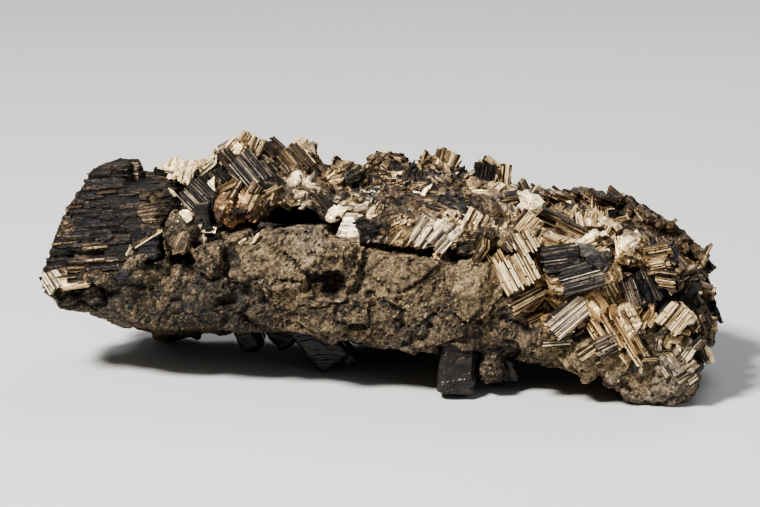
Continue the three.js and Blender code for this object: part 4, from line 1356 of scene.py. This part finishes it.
def book_shapes(name):
    """Different books of plates, or single plates, for scattering."""
    count, length, depth, pitch, plates, ragged, seed = BOOKS[name]
    draw = np.random.default_rng(seed)
    meshes = []
    for number in range(count):
        heap = Heap()
        leaves = plates[number % len(plates)]
        stretch = draw.uniform(*BOOK_STRETCH)
        size = (length * stretch, depth, leaves * pitch)
        stack_plates(heap, size, leaves, PLAIN_KIND, draw, ragged)
        mesh = heap.mesh(f"{name}_{number}")
        paint(mesh, own_tone=heap.tone)
        for leftover in ("tone", "warmth"):
            mesh.attributes.remove(mesh.attributes[leftover])
        meshes.append(mesh)
    return shape_collection(name, meshes)


def grain_shapes(name):
    """Sharp little grains with eight faces each, for scattering."""
    count, size, seed = GRAINS[name]
    draw = np.random.default_rng(seed)
    meshes = []
    faces = [(x, y, z) if (x + y + z) % 2 else (x, z, y) for x, y, z in product((0, 1), (2, 3), (4, 5))]
    for number in range(count):
        tips = np.concatenate([[axis, -axis] for axis in np.eye(3)]) * size * MM
        tips = tips * draw.uniform(*TIP_REACH, (6, 1))
        tips += draw.uniform(-TIP_SHIFT, TIP_SHIFT, (6, 3)) * size * MM
        mesh = bpy.data.meshes.new(f"{name}_{number}")
        mesh.from_pydata([tuple(tip) for tip in tips], [], faces)
        shape = bmesh.new()
        shape.from_mesh(mesh)
        bmesh.ops.recalc_face_normals(shape, faces=shape.faces)
        shape.to_mesh(mesh)
        shape.free()
        paint(mesh, own_tone=draw.random(), sheet=tips / MM)
        meshes.append(mesh)
    return shape_collection(name, meshes)


# ---------------------------------------------------------------- the matrix
# Cracks between the broken slabs, sunk and painted dark by their depth as painted shade, each through the
# points of the view that it runs past, with its half width and its depth in millimetres.
CRACKS = (
    (((226, 244), (229, 254), (234, 263)), 0.9, 1.6),
    (((280, 252), (293, 262), (306, 273), (309, 288)), 0.35, 0.8),
    (((230, 283), (246, 284), (262, 282)), 0.4, 0.9),
    (((228, 296), (244, 294)), 0.5, 0.9),
    (((340, 263), (352, 265), (363, 268)), 0.35, 0.8),
    (((366, 232), (365, 250), (364, 272)), 0.35, 1.0),
    (((361, 280), (350, 287), (341, 294)), 0.4, 0.9),
    (((361, 297), (354, 311)), 0.5, 1.0),
    (((366, 294), (369, 306)), 0.4, 0.9),
    (((369, 295), (384, 301), (402, 313)), 0.5, 1.1),
    (((395, 321), (412, 323), (430, 326)), 0.45, 0.9),
    (((450, 314), (464, 318), (480, 323)), 0.45, 0.9),
    (((141, 265), (150, 267), (160, 267)), 0.5, 1.0),
    (((193, 264), (198, 269), (204, 273)), 0.45, 1.0),
    (((224, 286), (238, 290), (250, 284)), 0.5, 1.0),
    (((219, 300), (232, 300), (241, 297)), 0.5, 0.9),
    (((431, 275), (436, 283), (434, 292)), 0.4, 0.8),
    (((453, 256), (470, 254), (484, 248), (494, 252)), 0.6, 1.4),
    (((503, 318), (520, 326), (536, 330)), 0.4, 0.8),
    (((110, 262), (112, 276), (120, 286)), 0.4, 0.7),
    (((165, 240), (170, 252), (184, 262)), 0.35, 0.7),
    (((262, 300), (282, 312), (300, 318)), 0.4, 0.8),
    (((320, 320), (345, 326), (372, 330)), 0.4, 0.8),
    (((321, 277), (335, 276), (336, 289), (327, 291), (329, 283)), 0.8, 1.8),
    (((307, 273), (315, 280), (313, 288)), 0.45, 1.4),
)
# Places where the rock is lighter or darker, and warmer or cooler: the point of the view, the reach in
# millimetres, and the two changes. The darker rows along the lower edge and the underside are partly
# painted shade, where the underside lies in shade, and partly darker rock.
ROCK_TINTS_AND_SHADE = (
    (150, 305, 15.0, -0.24, 0.0),
    (90, 300, 10.0, -0.18, 0.05),
    (215, 318, 10.0, -0.22, 0.0),
    (300, 325, 12.0, -0.1, 0.0),
    (420, 340, 14.0, -0.16, 0.0),
    (520, 355, 9.0, -0.22, 0.0),
    (245, 322, 8.0, -0.2, 0.0),
    (300, 338, 8.0, -0.25, 0.0),
    (350, 345, 8.0, -0.2, 0.0),
    (480, 365, 8.0, -0.2, 0.0),
    (500, 340, 7.0, -0.1, 0.0),
    (265, 262, 10.0, 0.06, 0.0),
    (335, 262, 6.0, 0.1, 0.05),
    (395, 275, 7.0, 0.05, 0.25),
    (475, 275, 7.0, 0.14, 0.15),
    (515, 300, 6.0, 0.06, 0.1),
    (560, 352, 8.0, 0.12, 0.2),
    (610, 355, 8.0, 0.14, 0.1),
    (665, 375, 9.0, 0.06, -0.22),
    (615, 380, 7.0, -0.08, 0.0),
)
# The rock's facets, from large to small: how large they are and how far they stand out in millimetres,
# how much they slope, how deep the grooves between them are in millimetres, and a seed. Their edges
# wander by a share of their size.
FACETS = (
    (10.5, 1.5, 0.10, 0.6, 11),
    (4.8, 0.5, 0.14, 0.26, 23),
    (1.7, 0.09, 0.10, 0.04, 37),
)
FACET_BEND = 0.3
# The share of a facet's height that lies under the slab's form, and the width of a groove.
FACET_SUNK = 0.55
GROOVE_WIDTH = 0.5 * MM
# Its bumps, with their size, their height and a seed, and its pits, all in millimetres, and how often
# a pit comes.
BUMPS = ((1.4, 0.12, 41), (0.7, 0.26, 43))
PIT_SIZE, PIT_DEPTH, PIT_OFTEN, PIT_SEED = 1.1, 0.4, 0.045, 57
# How light the rock is, and how much each form changes that: facets and bumps both ways, and grooves,
# pits and cracks by so much for each millimetre of their depth. Bumps are painted lighter where they rise
# and darker where they dip, and grooves, pits and cracks darker: painted light and shade.
ROCK_SHADE = 0.55
FACET_SHADE, BUMP_SHADE = 0.16, 0.2
GROOVE_SHADE, PIT_SHADE, CRACK_SHADE = 0.7, 0.3, 0.6
# The places that a crack is looked for at between two of its points, how far from them it may reach,
# and how large the bends of its edges are and how far those wander, in millimetres.
CRACK_PLACES = 24
CRACK_REACH = 3 * MM
CRACK_BEND, CRACK_WANDER = 1.4 * MM, 0.9
# Grains lie only where a crack is less deep than this, and above this height.
GRAIN_CRACK, GRAIN_FLOOR = 0.2 * MM, 1.2 * MM
# How light the rock's grains are: at its darkest, and how much more at its lightest. They follow the rock's
# shade value, painted shade included.
GRAIN_TONE, GRAIN_LIGHTER = 0.16, 0.52
# How large the warmer and cooler stains of the rock are, and how much they differ.
STAIN_SIZE, STAIN_SPREAD = 6 * MM, 0.4


def rock_tint_and_shade(points):
    """How much lighter and how much warmer the rock is at each point than elsewhere; its darkening along the
    lower edge is partly painted shade.
    """
    shade, warmth = np.zeros(len(points)), np.zeros(len(points))
    for px, py, reach, lighter, warmer in ROCK_TINTS_AND_SHADE:
        seen = ground.seen(px, py)
        if seen is None:
            continue
        far = np.linalg.norm(points - np.array(seen[0]), axis=1) / (reach * MM)
        share = np.exp(-far * far)
        shade += share * lighter
        warmth += share * warmer
    return shade, warmth


def crack_line(route):
    """The places on the matrix that a crack runs past."""
    line = []
    for (ax, ay), (bx, by) in zip(route, route[1:]):
        for part in np.linspace(0, 1, CRACK_PLACES):
            seen = ground.seen(ax + (bx - ax) * part, ay + (by - ay) * part)
            if seen and seen[2] == "matrix":
                line.append(seen[0])
    return np.array(line)


def crack_depth(points):
    """How deep the cracks are at each point of the rock."""
    deepest = np.zeros(len(points))
    for route, half_width, depth in CRACKS:
        line = crack_line(route)
        if not len(line):
            continue
        low, high = line.min(0) - CRACK_REACH, line.max(0) + CRACK_REACH
        near = np.nonzero(((points > low) & (points < high)).all(1))[0]
        if not len(near):
            continue
        ragged = points[near] + smooth_noise(points[near], CRACK_BEND, 5)[:, None] * CRACK_WANDER * MM
        far = np.linalg.norm(ragged[:, None] - line[None], axis=2).min(1)
        dip = np.clip(2 - far / (half_width * MM), 0, 1) * depth * MM
        deepest[near] = np.maximum(deepest[near], dip)
    return deepest


def make_rock(finish, grain_finish):
    """The matrix: broken facets, lumps, grains and cracks on the CAD slab, and loose grains on top."""
    rock = remeshed("matrix", "rock", ROCK_VOXEL)
    points, facings = points_of(rock.data), normals_of(rock.data)
    shade = np.full(len(points), ROCK_SHADE)
    for size, height, slope, groove, seed in FACETS:
        bend = smooth_noise(points, size * MM / 2, seed)[:, None] * size * MM * FACET_BEND
        owner, centre, border = cells(points + bend, size * MM, seed)
        lean = np.stack([hash01(owner, seed + k) for k in (5, 6, 7)], axis=1) - 0.5
        lift = (hash01(owner, seed + 4) - FACET_SUNK) * height * MM
        lift += ((points - centre) * lean).sum(1) * slope
        dip = edge(border, GROOVE_WIDTH) * groove * MM
        points = points + facings * (lift - dip)[:, None]
        # Grooves are painted darker by their depth: painted shade.
        shade += (hash01(owner, seed + 8) - 0.5) * FACET_SHADE - dip / MM * GROOVE_SHADE
    owner, _, _ = cells(points, PIT_SIZE * MM, PIT_SEED)
    pit = hash01(owner, PIT_SEED + 1) < PIT_OFTEN
    points = points - facings * (pit * PIT_DEPTH * MM)[:, None]
    # Pits are painted darker: painted shade.
    shade -= pit * PIT_SHADE
    for size, height, seed in BUMPS:
        bump = smooth_noise(points, size * MM, seed)
        points = points + facings * (bump * height * MM)[:, None]
        # Bumps are painted lighter where they rise and darker where they dip: painted light and shade.
        shade += bump * BUMP_SHADE
    crack = crack_depth(points)
    points = points - facings * crack[:, None]
    # The tints darken the lower edge and the underside, partly as painted shade.
    tint_and_shade, warmer = rock_tint_and_shade(points)
    # Cracks are painted darker by their depth: painted shade.
    shade = np.clip(shade + (tint_and_shade - crack / MM * CRACK_SHADE), 0, 1)
    put_points(rock.data, points)
    room = (crack < GRAIN_CRACK).astype(float) * (points[:, 2] > GRAIN_FLOOR)
    warmth = ROCK_WARMTH + smooth_noise(points, STAIN_SIZE, 51) * STAIN_SPREAD + warmer
    paint(rock.data, shade=shade, room=room, warmth=np.clip(warmth, 0, 1))
    # The grains take their tone from the rock's shade value, painted light and shade included.
    paint_plain(rock.data, GRAIN_TONE + GRAIN_LIGHTER * shade, 1.0)
    grains = scattered(rock, "rock_grains", grain_finish, grain_shapes("grain"))
    finished(rock, "matrix", finish, "matrix")
    finished(grains, "matrix", None)


# ---------------------------------------------------------------- the plates
# Between these two places along the specimen the crust is crumbly: fragments lie there in place of
# books. The ends of that stretch wander by so many millimetres.
CRUMBLY = (-17 * MM, 21 * MM)
CRUMBLY_WANDER = 5
# Books stand where soft noise is over this level, and this share of the small books in the crumbly part.
BOOKED = -0.06
CRUMBLY_SHARE = 0.25


def cover_crust(crust, finish):
    """Books, fragments, small books and crumbs on the crust."""
    points = points_of(crust.data)
    room = open_room(points, PATCHES)
    wander = points[:, 0] + smooth_noise(points, 7 * MM, 79) * CRUMBLY_WANDER * MM
    crumbly = (wander > CRUMBLY[0]) & (wander < CRUMBLY[1])
    booked = smooth_noise(points, 10 * MM, 75) > BOOKED
    for name, shapes, share in (
        ("crust_books", book_shapes("book"), booked * ~crumbly),
        ("crust_fragments", book_shapes("fragment"), crumbly),
        ("crust_small_books", book_shapes("small_book"), np.where(crumbly, CRUMBLY_SHARE, 1.0)),
        ("crust_crumbs", grain_shapes("crumb"), 1.0),
    ):
        paint(crust.data, room=room * share)
        finished(scattered(crust, name, finish, shapes), "blades", None)


def cover_with_laths(ridge, block, finish):
    """Laths on the ridge and on the block."""
    finished(scattered(ridge, "ridge_laths", finish, book_shapes("ridge_lath")), "ridge", None)
    finished(scattered(block, "block_laths", finish, book_shapes("block_lath")), "dark_striated", None)


def large_book(heap, row, draw, raised):
    """One of the books that stand out, set on what carries it."""
    px, py, stripes, tilt, kind, length, width, plates = row
    seen = ground.seen(px, py)
    if not (seen and plates):
        return
    axes = lie(stripes, tilt)
    if width < THIN:
        axes = laid_on(np.array(seen[1]), axes)
    flat = tilt > FLAT_TILT
    depth = width if flat else BOOK_DEPTH
    thick = plates * FLAT_PITCH if flat else width
    lean = math.radians(tilt)
    proud = raised + (PROUD if width > THIN else THIN_PROUD)
    sunk = proud - math.cos(lean) * depth / 2 - math.sin(lean) * thick / 2
    seat = (np.array(seen[0] + BACK * sunk * MM), axes)
    if flat:
        crumple(heap, (length, depth, thick), plates, KINDS[kind], draw, seat)
    else:
        count = max(plates, round(width / EDGE_PITCH))
        ragged = min(MOST_RAGGED, RAGGED * length)
        stack_plates(heap, (length, depth, thick), count, KINDS[kind], draw, ragged, BREAKS, seat)


def make_large_books(draw, finish):
    """All books that stand out, as one piece."""
    heap = Heap()
    for rows, raised in ((PATCHES, 0.0), (BLOCK_PATCHES, 0.0), (LUMP_PATCHES, LUMP_PROUD)):
        for row in rows:
            large_book(heap, row, draw, raised)
    finished(new_object("large_books", heap.mesh("large_books")), "blades", finish)


# ---------------------------------------------------------------- the single crystals
# The fan: the angle of its stripes at shares of its length, their tilt, and its sizes for terrace.
FAN_ANGLES = ((0.1, 68), (0.4, 80), (0.7, 92), (1.0, 104))
FAN_TILT = 5
FAN_SIZES = (0.7, 20, 0.8, 0.5)
# The bumps of the buff crystal: their size and their height in millimetres, and a seed. Then how light
# it is, how light the grains on it are and how much both differ, and its warmth and how that differs.
BUFF_BUMPS = ((3.0, 1.2, 141), (1.3, 0.8, 142), (0.7, 0.4, 143))
BUFF_TONE, BUFF_GRAIN_TONE, BUFF_SPREAD = 0.36, 0.44, 1.1
BUFF_WARMTH, BUFF_WARMTH_SPREAD = 0.85, 0.3
# The pyramid: the size of its bumps and their height in millimetres, the size of its speckles, how light
# they are and how much they differ, its warmth, and how far down from its tip it is white.
PYRAMID_BUMP, PYRAMID_ROUGH = 0.8 * MM, 0.1
SPECKLE_SIZE, SPECKLE_TONE, SPECKLE_SPREAD = 0.7 * MM, 0.74, 0.6
PYRAMID_WARMTH = 0.1
WHITE_TIP = 2.2 * MM
# A black crystal, in millimetres: the height of its growth steps, how far they stand out and how much
# they wander, how much its faces bulge, and the size of its chips and the width and depth of their edges.
STEP_HEIGHT, STEP_OUT, STEP_WANDER = 0.7, 0.22, 1.6
BULGE = 0.5
CHIP_SIZE, CHIP_WIDTH, CHIP_DEPTH = 3.0, 0.3, 0.06
CRYSTAL_COUNT = 6


def make_fan(finish):
    """The white fan of fluted plates."""
    patches = Patches()
    low, high = (np.array(corner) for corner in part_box("pale_fan_crystal"))
    for share, angle in FAN_ANGLES:
        patches.add(low + (high - low) * (share, 0.3, 0.5), lie(angle, FAN_TILT)[2], KINDS["shell"], 1.0)
    piece = remeshed("pale_fan_crystal", "pale_fan", FAN_VOXEL)
    terrace(piece.data, patches, FAN_SIZES, 131, joined=True)
    finished(piece, "pale", finish, "pale_fan_crystal")


def make_buff(finish):
    """The sugary, orange-brown crystal."""
    piece = remeshed("buff_crystal", "buff_lump", BUFF_VOXEL)
    points, facings = points_of(piece.data), normals_of(piece.data)
    for size, height, seed in BUFF_BUMPS:
        points = points + facings * (smooth_noise(points, size * MM, seed) * height * MM)[:, None]
    put_points(piece.data, points)
    patchy = smooth_noise(points, 3 * MM, 144) * BUFF_SPREAD
    warmth = BUFF_WARMTH + smooth_noise(points, 2 * MM, 145) * BUFF_WARMTH_SPREAD
    paint(piece.data, tone=BUFF_TONE + patchy, warmth=warmth, sheet=points / MM, room=1.0)
    paint_plain(piece.data, BUFF_GRAIN_TONE + patchy, 0.5)
    grains = scattered(piece, "buff_grains", finish, grain_shapes("buff_grain"))
    finished(piece, "buff", finish, "buff_crystal")
    finished(grains, "buff", None)


def make_pyramid(finish):
    """The pale, speckled pyramid."""
    piece = remeshed("pyramid_crystal", "pyramid", PYRAMID_VOXEL)
    points, facings = points_of(piece.data), normals_of(piece.data)
    points = points + facings * (smooth_noise(points, PYRAMID_BUMP, 151) * PYRAMID_ROUGH * MM)[:, None]
    put_points(piece.data, points)
    tip = points[:, 2] > points[:, 2].max() - WHITE_TIP
    speckles = SPECKLE_TONE + smooth_noise(points, SPECKLE_SIZE, 152) * SPECKLE_SPREAD
    paint(piece.data, tone=np.where(tip, 1.0, speckles), warmth=PYRAMID_WARMTH, sheet=points / MM)
    finished(piece, "pale", finish, "pyramid_crystal")


def make_black_crystal(number, finish):
    """A black crystal: the CAD form with worn edges, growth steps round it and small chips."""
    node = f"cassiterite_crystal_{number}"
    piece = remeshed(node, f"black_crystal_{number}", CASSITERITE_VOXEL)
    points, facings = points_of(piece.data), normals_of(piece.data)
    bend = smooth_noise(points, 4 * MM, 160 + number) * STEP_WANDER * MM
    step = np.floor((points[:, 2] + bend) / (STEP_HEIGHT * MM)).astype(int)
    lift = (number01(step, 170 + number) - 0.5) * STEP_OUT * MM
    lift += smooth_noise(points, 2.4 * MM, 180 + number) * BULGE * MM
    _, _, border = cells(points, CHIP_SIZE * MM, 190 + number)
    lift -= edge(border, CHIP_WIDTH * MM) * CHIP_DEPTH * MM
    put_points(piece.data, points + facings * lift[:, None])
    sheet = points.copy()
    sheet[:, 2] += bend
    paint(piece.data, sheet=sheet / MM)
    finished(piece, "cassiterite", finish, node)


# ---------------------------------------------------------------- floor and light
FLOOR_SIZE = 6.0
# Each lamp: its azimuth and elevation in degrees, its distance and its width, its power and its colour.
LAMPS = {
    "key": (-35, 50, 1.1, 0.22, 34.0, (1.0, 0.97, 0.92)),
    "fill": (55, 25, 0.8, 0.4, 1.2, (0.92, 0.96, 1.0)),
    "back": (160, 50, 0.7, 0.3, 2.0, (1.0, 1.0, 1.0)),
}
SKY_COLOUR, SKY_STRENGTH = (0.75, 0.78, 0.82, 1.0), 0.2


def make_floor(finish):
    """A plain floor under the specimen."""
    half = FLOOR_SIZE / 2
    mesh = bpy.data.meshes.new("floor")
    corners = [(-half, -half, 0), (half, -half, 0), (half, half, 0), (-half, half, 0)]
    mesh.from_pydata(corners, [], [(0, 1, 2, 3)])
    mesh.materials.append(finish)
    new_object("floor", mesh)


def make_lamp(name, azimuth, elevation, distance, width, power, colour):
    """A square studio lamp that faces the specimen."""
    data = bpy.data.lights.new(name, "AREA")
    data.size = width
    data.energy = power
    data.color = colour
    away = direction(math.radians(azimuth), math.radians(elevation))
    lamp = bpy.data.objects.new(name, data)
    lamp.location = LOOK_AT + away * distance
    lamp.rotation_mode = "QUATERNION"
    lamp.rotation_quaternion = away.to_track_quat("Z", "Y")
    bpy.context.scene.collection.objects.link(lamp)


def make_light():
    """Soft studio light: a key lamp high on the left, a weak fill, a lamp behind and a pale sky."""
    for name, lamp in LAMPS.items():
        make_lamp(name, *lamp)
    world = bpy.data.worlds.new("studio")
    world.use_nodes = True
    background = world.node_tree.nodes["Background"]
    background.inputs["Color"].default_value = SKY_COLOUR
    background.inputs["Strength"].default_value = SKY_STRENGTH
    bpy.context.scene.world = world
    bpy.context.scene.view_settings.view_transform = "AgX"
    bpy.context.scene.view_settings.look = "AgX - Medium High Contrast"


# ---------------------------------------------------------------- the specimen
make_camera()
mica = plate_finish("mica_plates")
rock_khaki = rock_finish("rock_khaki")
grain_khaki = plate_finish("rock_grain", metallic=0.0, roughness=0.6, streak=0.2)
black_crystal = cassiterite_finish("black_crystal")

make_rock(rock_khaki, grain_khaki)

draw = np.random.default_rng(3)
patches = make_patches(draw)
crust = make_layered(
    "bladed_crust", "crust", "blades", mica, CRUST_VOXEL, patches, PATCHES, CRUST_SIZES, 71,
)
ridge = make_layered(
    "bladed_ridge_back", "ridge", "ridge", mica, RIDGE_VOXEL, patches, (), RIDGE_SIZES, 81,
)
block = make_layered(
    "striated_crystal_left", "block", "dark_striated", mica, BLOCK_VOXEL, patches, BLOCK_PATCHES,
    BLOCK_SIZES, 91, joined=True,
)
cover_crust(crust, mica)
cover_with_laths(ridge, block, mica)
make_large_books(draw, mica)

make_fan(mica)
make_buff(grain_khaki)
make_pyramid(mica)
for number in range(1, CRYSTAL_COUNT + 1):
    make_black_crystal(number, black_crystal)

make_floor(floor_finish())
make_light()
